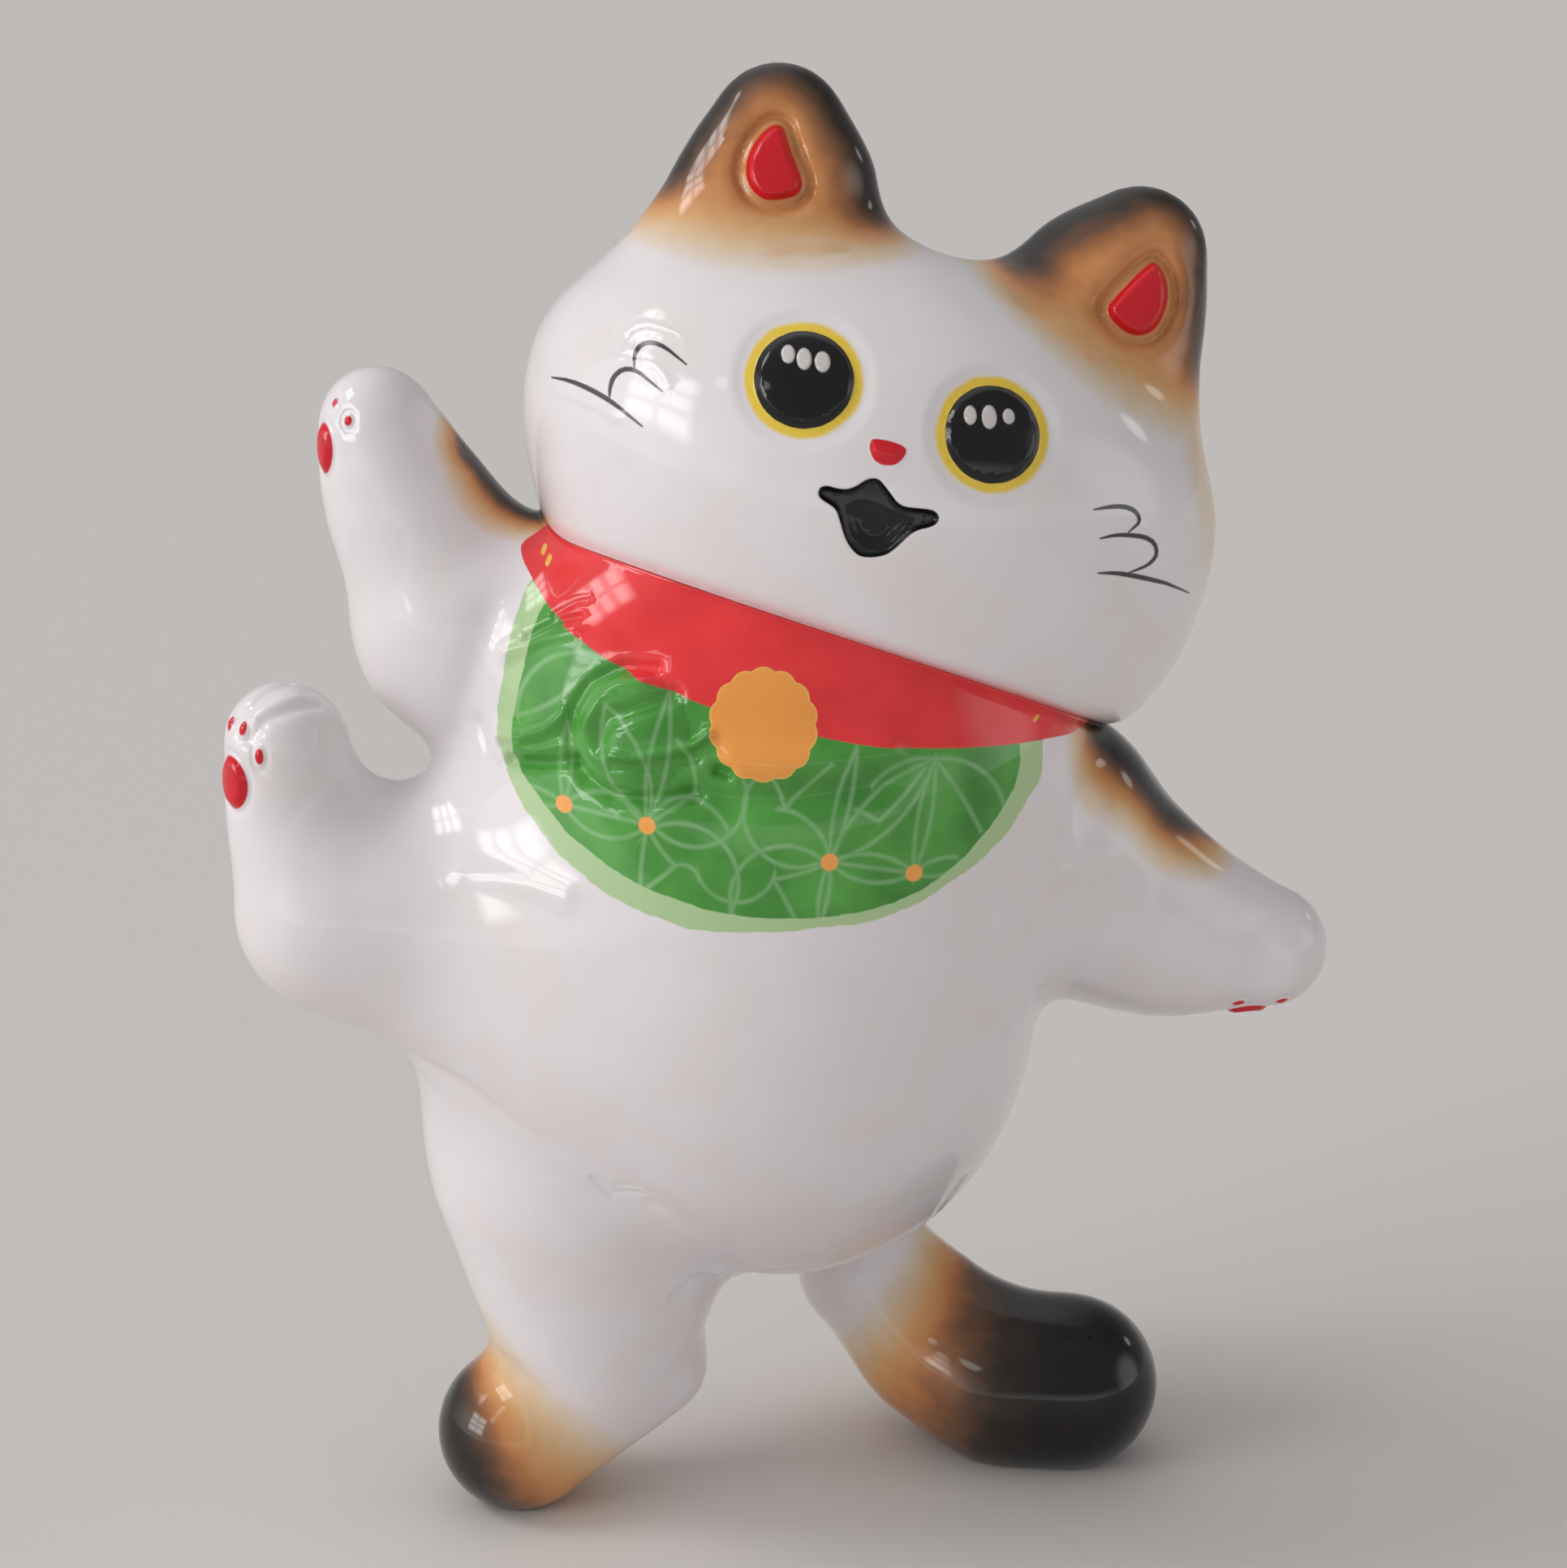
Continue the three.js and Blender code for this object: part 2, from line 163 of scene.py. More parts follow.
def roundedLine(stroke):  # the same for an open line, which keeps its ends
    line = [stroke[0]]
    for (ax, az), (bx, bz) in zip(stroke, stroke[1:]):
        line += [(ax + t * (bx - ax), az + t * (bz - az)) for t in (0.25, 0.75)]
    return line[:1] + line[2:-2] + [stroke[-1]]


def outlineDistance(flat, ring):  # below 0 inside
    x, z = flat.T
    least = np.full(x.shape, 1e9)
    inside = np.zeros(x.shape, bool)
    for (ax, az), (bx, bz) in zip(ring, np.roll(ring, -1, axis=0)):
        dx, dz = bx - ax, bz - az
        t = np.clip(((x - ax) * dx + (z - az) * dz) / (dx * dx + dz * dz), 0, 1)
        least = np.minimum(least, (x - ax - t * dx) ** 2 + (z - az - t * dz) ** 2)
        crosses = (az > z) != (bz > z)
        inside ^= crosses & (x < ax + (z - az) * dx / (dz if dz else 1e-9))
    return np.where(inside, -1, 1) * np.sqrt(least)


eyes = {
    "centres": [(-12.3, 3.5), (9.35, 4.3)],
    "pupil": 5.45,  # radius of the black disc
    "shoulder": 0.8,  # width of the disc's rounded edge
    "ring": 6.5,  # outer radius of the yellow ring
    "socket": 8.3,  # outer radius of the shallow socket
    "socketDepth": 0.36,
    "dome": 0.4,
    "edge": 0.55,  # step up from the ring to the disc
    "edgeFoot": 0.15,  # how far the step spreads past the disc
    "upright": 16.8,  # degrees that the glints lean over with the head
    # silvery ovals on the discs: middle, half width and half height
    "glints": [(-14.8, 5.6, 0.74, 1.02), (-13, 5.6, 0.8, 1.2), (-11, 5.9, 0.84, 1.15),
        (6.2, 5.4, 0.7, 1.05), (8.3, 5.9, 0.84, 1.3), (10.4, 6.7, 0.68, 0.85)],
    "glintRise": 0.16,
    "glintSlope": (0.75, 1.1),  # where a glint's edge starts and ends, over its own size
}

nose = {
    "outline": [(-3.4, -0.6), (-3.1, -0.4), (-2.2, -0.2), (-1.3, -0.1), (-0.1, -0.1), (0.7, -0.4),
        (0.7, -1), (0.5, -1.7), (0, -2.4), (-0.7, -2.7), (-1.6, -2.9), (-2.5, -2.6), (-3.1, -1.9),
        (-3.4, -1.3)],
    "rise": 0.5,
    "slope": (-1.3, 0.3),  # where its edge starts and ends, over the distance to the outline
}

mouth = {
    "outline": [(-7.1, -7.7), (-7, -7.2), (-6.4, -6.8), (-5.4, -6.8), (-4.3, -6.6), (-3.4, -6),
        (-2.5, -4.8), (-1.6, -4.4), (-1, -4.5), (-0.2, -5), (0.8, -5.7), (1.5, -6.2), (2.4, -6.4),
        (3.8, -6.1), (5.1, -5.8), (5.9, -5.8), (6.5, -6.3), (6.5, -7), (5.8, -7.7), (4.7, -8.3), (4, -9.1),
        (2.9, -11.3), (2, -12.2), (0.8, -12.8), (-0.5, -13.1), (-1.6, -12.6), (-2.7, -11.7), (-3.8, -10.1),
        (-4.6, -9), (-5.5, -8.7), (-6.4, -8.5), (-6.9, -8.2)],
    "rise": -0.7,
    "slope": (-0.6, 0.15),
}

basin = {  # the deeper part inside the mouth
    "outline": [(-3.7, -8.6), (-3.4, -7.8), (-1.9, -6.9), (-0.3, -7), (1.2, -7.2), (3.1, -7.3), (4.2, -7.3),
        (3.5, -8.4), (3, -9.9), (2.4, -11), (1.4, -11.8), (0, -12.2), (-1.6, -11.6), (-2.9, -10.4)],
    "rise": -0.8,
    "slope": (-1.6, 0.1),
}

earPatch = {
    "outlines": [
        [(-23.6, 31.9), (-22.7, 32.1), (-22, 31.6), (-21.4, 30.5), (-20.5, 29.2), (-19.5, 28),
            (-18.6, 26.9), (-18.2, 25.8), (-18.5, 24.8), (-19.7, 23.9), (-21.2, 23.2), (-22.3, 23.1),
            (-23.6, 23.7), (-24.6, 24.8), (-25.1, 26.2), (-25.2, 27.5), (-25, 29), (-24.5, 30.5)],
        [(23.4, 31), (24.4, 30.7), (25.2, 29.9), (26, 28.7), (26.5, 26.9), (26.4, 25), (25.9, 23.3),
            (24.5, 22.1), (23, 21.8), (21.6, 22.2), (20.3, 22.9), (19.7, 23.8), (19.9, 24.7), (20.9, 26.8),
            (21.8, 28.6), (22.7, 30.1)]],
    "rise": 0.95,
    "slope": (-0.9, 0.25),
    "dish": 0.85,
    "dishWidth": 3.2,
    "groove": 0.5,  # depth of the groove around the island
    "grooveAt": 1.0,  # its distance from the island, past a narrow ledge
    "grooveWidth": 0.5,
}

whiskers = {
    "strokes": [
        [(-38.8, -3.9), (-36.7, -3.8), (-34.2, -4.2), (-31.9, -4.8), (-29.8, -5.6), (-27.5, -6.6)],
        [(-31.9, -4.6), (-32.2, -3.4), (-32.2, -2.2), (-31.5, -1.1), (-30.3, -0.8), (-28.8, -1.3),
            (-26.6, -2.3)],
        [(-30.3, -0.6), (-30.7, 0.6), (-30.6, 1.7), (-29.9, 2.5), (-28.6, 2.7), (-26.9, 2.2), (-25, 1.3)],
        [(23.2, 0.2), (24.7, 1), (26.4, 1.7), (28, 1.8), (29, 1.2), (29, 0.3), (28.1, -0.9)],
        [(25, -2.6), (26.5, -1.7), (28.2, -1.1), (30.3, -0.6), (31.8, -0.8), (32.6, -1.8), (32.3, -2.9),
            (31.3, -4), (29.5, -5.3)],
        [(26.1, -6.3), (28.2, -5.6), (30.3, -5.2), (33.1, -4.8), (35.8, -4.5), (38.9, -4.5)]],
    "width": 0.29,  # half width of the brush line in its middle
    "tip": 0.1,  # and at its ends
    # the raised lines beside the painted ones
    "moulded": [
        [(-38.1, -5.3), (-35.9, -5.5), (-33, -5.7), (-30.4, -6.5)],
        [(-34.2, -1.2), (-33.3, -0.4), (-31.7, 0.4), (-30.7, 0.3)],
        [(-32.6, 1.5), (-32.4, 2.7), (-31.6, 3.9), (-30.4, 4.5), (-28.6, 4.6), (-26.9, 4.3), (-25.7, 3.5)],
        [(-29.7, 0.6), (-28.5, 0.5), (-27.1, -0.3), (-26.1, -1.5)],
        [(30.3, 0.4), (32.2, 0.5), (33.4, 0.1), (34.1, -1.2), (34, -2.9)],
        [(34.8, -3.1), (37.2, -2.5), (39.4, -2.4)]],
    "rise": 0.12,
    "ridge": 0.5,
}

for shape in (nose, mouth, basin):
    shape["ring"] = roundedOutline(shape["outline"])
earPatch["rings"] = [roundedOutline(corners) for corners in earPatch["outlines"]]


# Low relief on the body

padEdge = {
    "slope": (-0.8, 0.15),
    "groove": 0.18,  # depth of the fine groove around a pad
    "grooveAt": 0.4,
    "grooveWidth": 0.35,
}

pads = [
    # the soft pads of the paws: middle, half width and half height, rise
    ((-54.1, -5.4, 136.3), (1.9, 3), 0.5),
    ((-50.9, -7.8, 140), (0.5, 0.62), 0.22),
    ((-52.6, -5.7, 141.7), (0.42, 0.62), 0.18),
    ((-64.6, -16.9, 99.2), (2.6, 3.2), 0.6),
    ((-61.1, -19.4, 103), (0.55, 0.95), 0.35),
    ((-63.1, -17.6, 105.9), (0.6, 0.95), 0.35),
    ((-64.9, -15.3, 105.8), (0.7, 0.95), 0.35),
    ((56.6, -1, 65.3), (2.6, 2.4), 0.5),
    ((55.1, -4.9, 67.2), (0.8, 0.6), 0.3),
    ((60.6, -3.7, 67), (0.8, 0.6), 0.3),
]
pads = [dict(zip(("at", "half", "rise"), pad)) for pad in pads]

ridges = {
    # half width, height, which is below 0 for a groove, and points on the surface
    "bell hollow": (1.2, -1.5, [(-20.9, -27.5, 107), (-19.9, -27.4, 109.6), (-17.1, -28.2, 111.1),
        (-13.4, -28.7, 112.6)]),
    "bell lip": (0.55, 1, [(-19.6, -28.4, 105.9), (-17, -29.4, 105.9), (-14.8, -30.1, 106.5),
        (-12.6, -30.6, 107.1), (-10.4, -30.9, 107.9), (-8.8, -30.9, 109)]),
    "bell lip's groove": (0.7, -0.5, [(-19.4, -28.6, 104.6), (-14.8, -30.3, 105), (-10.6, -31.2, 106.3)]),
    "bell pit": (0.8, -1.3, [(-7.9, -32, 105.1), (-7, -32.1, 104.8)]),
    "under the bell": (1, -1, [(-24.6, -25.6, 104.6), (-22.9, -26.9, 102.7), (-20, -29, 101.4),
        (-15.7, -30.9, 101.2), (-11.1, -31.9, 102.2)]),
    "around the bell": (0.8, -0.7, [(-25, -24.9, 107), (-24.6, -24.4, 109.8), (-22.6, -24.6, 113.2),
        (-18.6, -25.6, 115.4), (-14.8, -27, 115.6)]),
    "bell rim": (0.75, 0.7, [(-22.4, -26.2, 108.4), (-21.9, -26.4, 109.9), (-20.4, -26, 112.1),
        (-18.5, -26.6, 113.5), (-16.2, -27.7, 114.2)]),
    "collar's lower step": (1.7, -0.65, [(-10.2, -32.1, 102.5), (-5.7, -32.8, 102.2), (-0.2, -32.9, 102.2),
        (6.1, -32.1, 102.9), (10.7, -30.9, 103.5)]),
    "moulded collar": (2.2, 0.8, [(-6.1, -32, 106.2), (-0.2, -32.3, 105.8), (5.7, -31.5, 106.3),
        (10.7, -30.3, 106.6)]),
    "ribbon upper": (0.9, 0.85, [(-33.3, -17.6, 105.1), (-30.4, -20.4, 105.6), (-27.5, -23, 107.3),
        (-25.4, -24.3, 109.3)]),
    "ribbon lower": (0.8, -0.9, [(-32.4, -19.6, 102.6), (-28.5, -23.1, 103.3), (-25, -25.6, 104.3)]),
    "ribbon middle": (0.6, 0.35, [(-32.3, -19.3, 103.8), (-28.5, -22.7, 104.7), (-25.4, -25, 106.2)]),
    "collar crease 1": (0.6, -0.6, [(-30, -17, 116.7), (-26.6, -18.6, 119), (-24, -20.3, 119.9)]),
    "collar crease 2": (0.5, -0.4, [(-27.1, -17.9, 119.8), (-24.7, -18.8, 121.3), (-23.2, -19.7, 121.9)]),
    "collar fold": (1.1, 0.5, [(-31.8, -15.4, 114.2), (-28.2, -18.6, 116.9), (-24.4, -20.9, 118.3)]),
    "toe groove 1": (0.8, -0.45, [(-63.6, -16.3, 107.2), (-62.1, -16.4, 108.6), (-60.2, -14.6, 110),
        (-58.6, -12.5, 110.4)]),
    "toe groove 2": (0.8, -0.45, [(-62, -18.9, 105), (-60.4, -18.5, 107.3), (-57, -17.3, 108.4),
        (-55, -15.4, 108.3)]),
    "toe crest": (1, 0.3, [(-61.4, -18, 107.2), (-59.1, -17.2, 108.6), (-56.8, -15.6, 109.4)]),
    "side fold": (1.6, 0.25, [(-37.7, -22.5, 89.8), (-33.5, -24.4, 90), (-29.7, -26.5, 89.9),
        (-25.5, -29, 89)]),
    "arm fold": (2.2, -0.35, [(-34.9, -14, 118.2), (-35.9, -14.8, 114.6), (-37.5, -14.4, 109.6),
        (-39.2, -12.3, 104.1)]),
    "bib fold": (1, -0.3, [(-36.3, -14.5, 105.8), (-35, -16.6, 102.1), (-33.6, -18.8, 101)]),
    "far arm fold": (1.2, 0.22, [(22, -26.9, 91.7), (26.4, -23.1, 90.7), (31.6, -17.7, 88.3),
        (36.1, -15.5, 86.1)]),
    "thigh crease": (1.6, -0.32, [(-44.2, -16, 64.3), (-37.4, -20.6, 62), (-29.2, -24, 56.7),
        (-23.7, -24.4, 52.2), (-17, -25, 49)]),
    "thigh wrinkle 1": (0.6, -0.2, [(-23.2, -24.6, 52.2), (-21.1, -24.3, 50.3), (-17.5, -25.4, 51.1)]),
    "thigh wrinkle 2": (0.5, -0.14, [(-20.3, -25.1, 51.9), (-17.9, -26.1, 52.3)]),
    "hip crease": (0.7, -0.6, [(19.2, -9.8, 48), (18.1, -7.3, 43), (17.7, -3.7, 39)]),
    "leg crease": (0.9, -0.8, [(-13.8, -16.5, 33.2), (-11.5, -15.3, 35), (-8.6, -11.2, 34.2)]),
    "belly's lower edge": (1.1, 0.4, [(-9.2, -13.6, 36.4), (-3, -9.6, 34.6), (3.5, -9.2, 34.9),
        (9.5, -9.3, 37.4), (15.4, -8.1, 40.7)]),
    "under the arm": (1.2, -0.5, [(25.1, -19.9, 67.1), (27.1, -17.9, 70.6), (29.8, -13.2, 71.7)]),
    "paw dimple": (2.6, -0.45, [(57.3, -7, 75.2), (57.5, -6.9, 72.5)]),
    "forearm": (3.6, 0.5, [(49.5, -9.9, 77.5), (46.3, -11, 79.2)]),
}

ridges = [{"name": name, "width": width, "height": height, "points": np.array(spots)}
          for name, (width, height, spots) in ridges.items()]
bellBoss = {"at": (-17.6, -27.6, 108.2), "radius": 7.2, "rise": 2.9}


def strokeDistance(points, stroke):  # least distance to a line of two or more points, in 2-D or 3-D
    least = np.full(len(points), 1e9)
    for a, b in zip(stroke, stroke[1:]):
        a, b = np.array(a, float), np.array(b, float)
        t = np.clip((points - a) @ (b - a) / ((b - a) @ (b - a)), 0, 1)
        least = np.minimum(least, ((points - a - t[:, None] * (b - a)) ** 2).sum(1))
    return np.sqrt(least)


def nearBox(points, spots, reach):  # which points lie within reach of the box around some spots
    low, high = np.min(spots, 0) - reach, np.max(spots, 0) + reach
    return np.flatnonzero((points > low).all(1) & (points < high).all(1))


def onFront(points, front):  # x and z of the points in front, with the others moved far away
    return np.where(front[:, None], points[:, [0, 2]], 1e3)


def onFace(q):
    return onFront(q, q[:, 1] < head["faceFront"])


def nearOutline(flat, ring, reach=5.0):  # points near an outline, and their distance to it
    near = nearBox(flat, ring, reach)
    return near, outlineDistance(flat[near], ring)


def nearMoulded(flat, stroke):  # the same for one of the raised lines
    near = nearBox(flat, stroke, 2)
    return near, strokeDistance(flat[near], stroke)


def nearPad(p, pad, reach):  # the same for the rim of a pad, whose own thickness is ignored
    wide, high = pad["half"]
    near = nearBox(p, [pad["at"]], max(wide, high) + reach)
    x, y, z = (p[near] - pad["at"]).T
    return near, (np.sqrt((x ** 2 + y ** 2) / wide ** 2 + (z / high) ** 2) - 1) * min(wide, high)


def nearRidge(p, ridge, reach):  # the same for a ridge, measured along the surface
    near = nearBox(p, ridge["points"], reach + abs(ridge["height"]) + ridge["lift"])
    return near, strokeDistance(p[near] @ ridge["press"], ridge["points"] @ ridge["press"])


def upright(x, z):  # turns numbers, arrays or sockets back by the lean of the glints
    lean = math.radians(eyes["upright"])
    return x * math.cos(lean) + z * math.sin(lean), z * math.cos(lean) - x * math.sin(lean)


def glintReach(flat, glint):  # 1 on the rim of an oval glint
    x, z, wide, high = glint
    across, up = upright(*(flat - (x, z)).T)
    return np.hypot(across / wide, up / high)


def faceRelief(q):
    height = np.zeros(len(q))
    flat = onFace(q)
    for centre in eyes["centres"]:
        r = np.hypot(*(flat - centre).T)
        near = np.flatnonzero(r < eyes["socket"])
        s = r[near]
        step = smoothStep(s, eyes["pupil"] - eyes["shoulder"], eyes["pupil"] + eyes["edgeFoot"])
        height[near] -= eyes["socketDepth"] * (1 - smoothStep(s, eyes["ring"] - 0.1, eyes["socket"]))
        height[near] += eyes["dome"] * np.maximum(1 - (s / eyes["pupil"]) ** 2, 0)
        height[near] += eyes["edge"] * (1 - step)
    for glint in eyes["glints"]:
        near = nearBox(flat, [glint[:2]], 2)
        reach = glintReach(flat[near], glint)
        height[near] += eyes["glintRise"] * (1 - smoothStep(reach, *eyes["glintSlope"]))
    for shape in (nose, mouth, basin):
        near, s = nearOutline(flat, shape["ring"])
        height[near] += shape["rise"] * (1 - smoothStep(s, *shape["slope"]))
    for ring in earPatch["rings"]:
        near, s = nearOutline(flat, ring)
        height[near] -= earPatch["dish"] * (1 - smoothStep(s, 0, earPatch["dishWidth"]))
        height[near] += earPatch["rise"] * (1 - smoothStep(s, *earPatch["slope"]))
        groove = (s - earPatch["grooveAt"]) / earPatch["grooveWidth"]
        height[near] -= earPatch["groove"] * np.exp(-groove ** 2)
    for stroke in whiskers["moulded"]:
        near, away = nearMoulded(flat, stroke)
        height[near] += whiskers["rise"] * np.exp(-(away / whiskers["ridge"]) ** 2)
    return height


def bodyRelief(p):
    away = np.linalg.norm(p - bellBoss["at"], axis=1)
    height = bellBoss["rise"] * np.maximum(1 - (away / bellBoss["radius"]) ** 2, 0)
    for pad in pads:
        near, s = nearPad(p, pad, 3)
        groove = (s - padEdge["grooveAt"]) / padEdge["grooveWidth"]
        height[near] += pad["rise"] * (1 - smoothStep(s, *padEdge["slope"]))
        height[near] -= padEdge["groove"] * np.exp(-groove ** 2)
    for ridge in ridges:
        near, away = nearRidge(p, ridge, 3 * ridge["width"])
        height[near] += ridge["height"] * np.exp(-(away / ridge["width"]) ** 2)
    return height


def headDistance(q):
    half = np.empty((len(q), 3))
    half[:, 0], half[:, 1] = head["half"]
    half[:, 2] = np.where(q[:, 2] > 0, head["crown"], head["throat"])
    jaw = head["jaw"]
    distance = blend(eggDistance(q, half), eggAt(q, jaw), jaw["join"])
    for side in (-1, 1):
        distance = blend(distance, earDistance(q, side), head["earJoin"])
    return -blend(-distance, q[:, 2] - head["chin"], head["chinRound"])


def bodyDistance(p, q):
    belly, rump, chest = (trunk[name] for name in ("belly", "rump", "chest"))
    distance = blend(eggAt(p, belly), eggAt(p, rump), rump["join"])
    distance = blend(distance, np.maximum(eggAt(q, chest), q[:, 2] - chest["top"]), chest["join"])
    for inner, join, lobes in limbs.values():
        distance = blend(distance, limbDistance(p, lobes, inner), join)
    return distance


def plainDistance(p):
    return bodyDistance(p, toHead(p))


flattening = 0.92  # distances to a ridge leave out this share of what lies along the way out of the surface
for ridge in ridges:
    steps = np.eye(3) * 0.1
    out = np.array([(plainDistance(ridge["points"] + step) - plainDistance(ridge["points"] - step)).mean()
                    for step in steps])
    out /= np.linalg.norm(out)
    ridge["press"] = np.eye(3) - flattening * np.outer(out, out)
    ridge["lift"] = bellBoss["rise"] * ridge["name"].startswith("bell")


def figureDistance(p):
    q = toHead(p)
    face = headDistance(q) - faceRelief(q)
    body = bodyDistance(p, q) - bodyRelief(p)
    return np.maximum(blend(body, face, figure["seam"]), -p[:, 2])


tetra = np.array([(1, -1, -1), (-1, -1, 1), (-1, 1, -1), (1, 1, 1)], float)


def figureSlope(p, step=0.04):
    slope = np.zeros((len(p), 3))
    for corner in tetra:
        slope += corner * figureDistance(p + step * corner)[:, None]
    return slope / (4 * step)


def ontoSurface(p, rounds=3):
    for _ in range(rounds):
        slope = figureSlope(p)
        steep = (slope * slope).sum(1)
        move = figureDistance(p) / np.maximum(steep, 0.1)
        p = p - slope * np.clip(move, -figure["longestMove"], figure["longestMove"])[:, None]
    p[np.abs(p[:, 2]) < figure["floorSnap"], 2] = 0
    return p


# Closed mesh on a grid

def cellTable():
    # For each pattern of inside corners, which vertex of the cell each of its 12 edges belongs to.
    # A cell that two sheets pass through gets two vertices, so that the mesh stays a closed surface.
    edges = [(c, c | bit) for bit in (1, 2, 4) for c in range(8) if not c & bit]
    faces = [[c for c in range(8) if c & bit == side] for bit in (1, 2, 4) for side in (0, bit)]
    table = np.full((256, 12), -1)
    for pattern in range(256):
        inside = [bool(pattern >> c & 1) for c in range(8)]
        crossed = [inside[a] != inside[b] for a, b in edges]
        group = list(range(12))
        for face in faces:
            around = [e for e in range(12) if crossed[e] and edges[e][0] in face and edges[e][1] in face]
            for e in around:
                for other in around:
                    shared = set(edges[e]) & set(edges[other])
                    if len(around) == 2 or any(inside[c] for c in shared):
                        old, new = group[e], group[other]
                        group = [new if g == old else g for g in group]
        names = sorted({group[e] for e in range(12) if crossed[e]})
        for e in range(12):
            if crossed[e]:
                table[pattern, e] = names.index(group[e])
    return edges, table


def gridMesh():
    step, coarse = figure["gridStep"], figure["coarse"]
    low = np.array(figure["low"], float)
    count = np.ceil((np.array(figure["high"]) - low) / step).astype(int) + 1
    counts = -(-count // coarse) + 1
    spots = np.stack(np.meshgrid(*[np.arange(n) for n in counts], indexing="ij"), -1).reshape(-1, 3)
    rough = figureDistance(low + step * coarse * spots).reshape(counts)
    spots = np.stack(np.meshgrid(*[np.arange(n) for n in count], indexing="ij"), -1).reshape(-1, 3)
    field = rough[tuple(((spots + coarse // 2) // coarse).T)]
    near = np.flatnonzero(np.abs(field) < 1.5 * coarse * step)
    for part in np.array_split(near, max(1, len(near) // figure["batch"])):
        field[part] = figureDistance(low + step * spots[part])
    field = field.reshape(count)

    edges, table = cellTable()
    inside = field < 0
    pattern = sum(inside[c & 1:count[0] - 1 + (c & 1), c >> 1 & 1:count[1] - 1 + (c >> 1 & 1),
                         c >> 2:count[2] - 1 + (c >> 2)].astype(int) << c for c in range(8))
    groups = table.max(1) + 1
    base = np.cumsum(groups[pattern].ravel()).reshape(pattern.shape) - groups[pattern]
    cells = np.argwhere(groups[pattern] > 0)
    kinds = pattern[tuple(cells.T)]
    bases = base[tuple(cells.T)]
    total = np.zeros((int(groups[pattern].sum()), 4))
    for number, (a, b) in enumerate(edges):
        hit = np.flatnonzero(table[kinds, number] >= 0)
        ends = [cells[hit] + [c & 1, c >> 1 & 1, c >> 2] for c in (a, b)]
        da, db = (field[tuple(end.T)] for end in ends)
        place = ends[0] + (da / (da - db))[:, None] * (ends[1] - ends[0])
        np.add.at(total, bases[hit] + table[kinds[hit], number], np.c_[place, np.ones(len(hit))])
    points = low + step * total[:, :3] / total[:, 3:]

    quads = []
    for axis in range(3):
        u, v = (axis + 1) % 3, (axis + 2) % 3
        ahead = np.roll(inside, -1, axis)
        index = [slice(1, -1)] * 3
        index[axis] = slice(0, -1)
        crossed = np.zeros(inside.shape, bool)
        crossed[tuple(index)] = (inside != ahead)[tuple(index)]
        spots = np.argwhere(crossed)
        outward = inside[tuple(spots.T)]
        ring = []
        for back, side in ((1, 1), (0, 1), (0, 0), (1, 0)):
            cell = spots.copy()
            cell[:, u] -= back
            cell[:, v] -= side
            start = (back << u) | (side << v)
            number = edges.index((start, start | 1 << axis))
            ring.append(base[tuple(cell.T)] + table[pattern[tuple(cell.T)], number])
        ring = np.array(ring).T
        ring[~outward] = ring[~outward][:, ::-1]
        quads.append(ring)
    return ontoSurface(points), np.concatenate(quads)


def splitQuads(points, quads):
    a, b, c, d = (points[quads[:, n]] for n in range(4))
    short = ((a - c) ** 2).sum(1) <= ((b - d) ** 2).sum(1)
    return np.concatenate([quads[short][:, [0, 1, 2]], quads[short][:, [0, 2, 3]],
                           quads[~short][:, [0, 1, 3]], quads[~short][:, [1, 2, 3]]])


detail = {
    "passes": 3,
    "fine": 0.36,  # longest edge on the smallest details
    "medium": 0.75,  # on the larger ones
    "seam": 0.5,  # along the seam between the head and the body
    "seamReach": 0.9,
    "floorReach": 0.8,
    "margin": 1,  # around sockets, bell, pads and raised lines
    "discEdge": 0.5,
    "glint": 1.5,  # over the glint's own size
    "ridge": (2, 0.7),  # reach and longest edge on a ridge, over its width
    "island": (1.3, 0.7),  # how far from an outline the medium and the fine mesh reach
    "earIsland": (3.2, 0.8),
}


def allowedEdge(p):
    q = toHead(p)
    flat = onFace(q)
    allowed = np.full(len(p), 99.0)
    fine, medium, margin = detail["fine"], detail["medium"], detail["margin"]
    ridgeReach, ridgeShare = detail["ridge"]

    def limit(spots, longest):
        allowed[spots] = np.minimum(allowed[spots], longest)

    for centre in eyes["centres"]:
        r = np.hypot(*(flat - centre).T)
        limit(r < eyes["socket"] + margin, medium)
        limit(np.abs(r - eyes["pupil"]) < detail["discEdge"], fine)
    for glint in eyes["glints"]:
        limit(glintReach(flat, glint) < detail["glint"], fine)
    for name, rings in (("island", [shape["ring"] for shape in (nose, mouth, basin)]),
                        ("earIsland", earPatch["rings"])):
        for ring in rings:
            near, s = nearOutline(flat, ring)
            limit(near[s < detail[name][0]], medium)
            limit(near[np.abs(s) < detail[name][1]], fine)
    for stroke in whiskers["moulded"]:
        near, away = nearMoulded(flat, stroke)
        limit(near[away < margin], medium)
    limit(np.linalg.norm(p - bellBoss["at"], axis=1) < bellBoss["radius"] + margin, medium)
    for pad in pads:
        near, s = nearPad(p, pad, 2)
        limit(near[s < margin], fine)
    for ridge in ridges:
        reach = ridgeReach * ridge["width"]
        near, away = nearRidge(p, ridge, reach)
        limit(near[away < reach], np.clip(ridgeShare * ridge["width"], fine, medium))
    limit(np.abs(headDistance(q) - bodyDistance(p, q)) < detail["seamReach"], detail["seam"])
    limit(p[:, 2] < detail["floorReach"], medium)
    return allowed


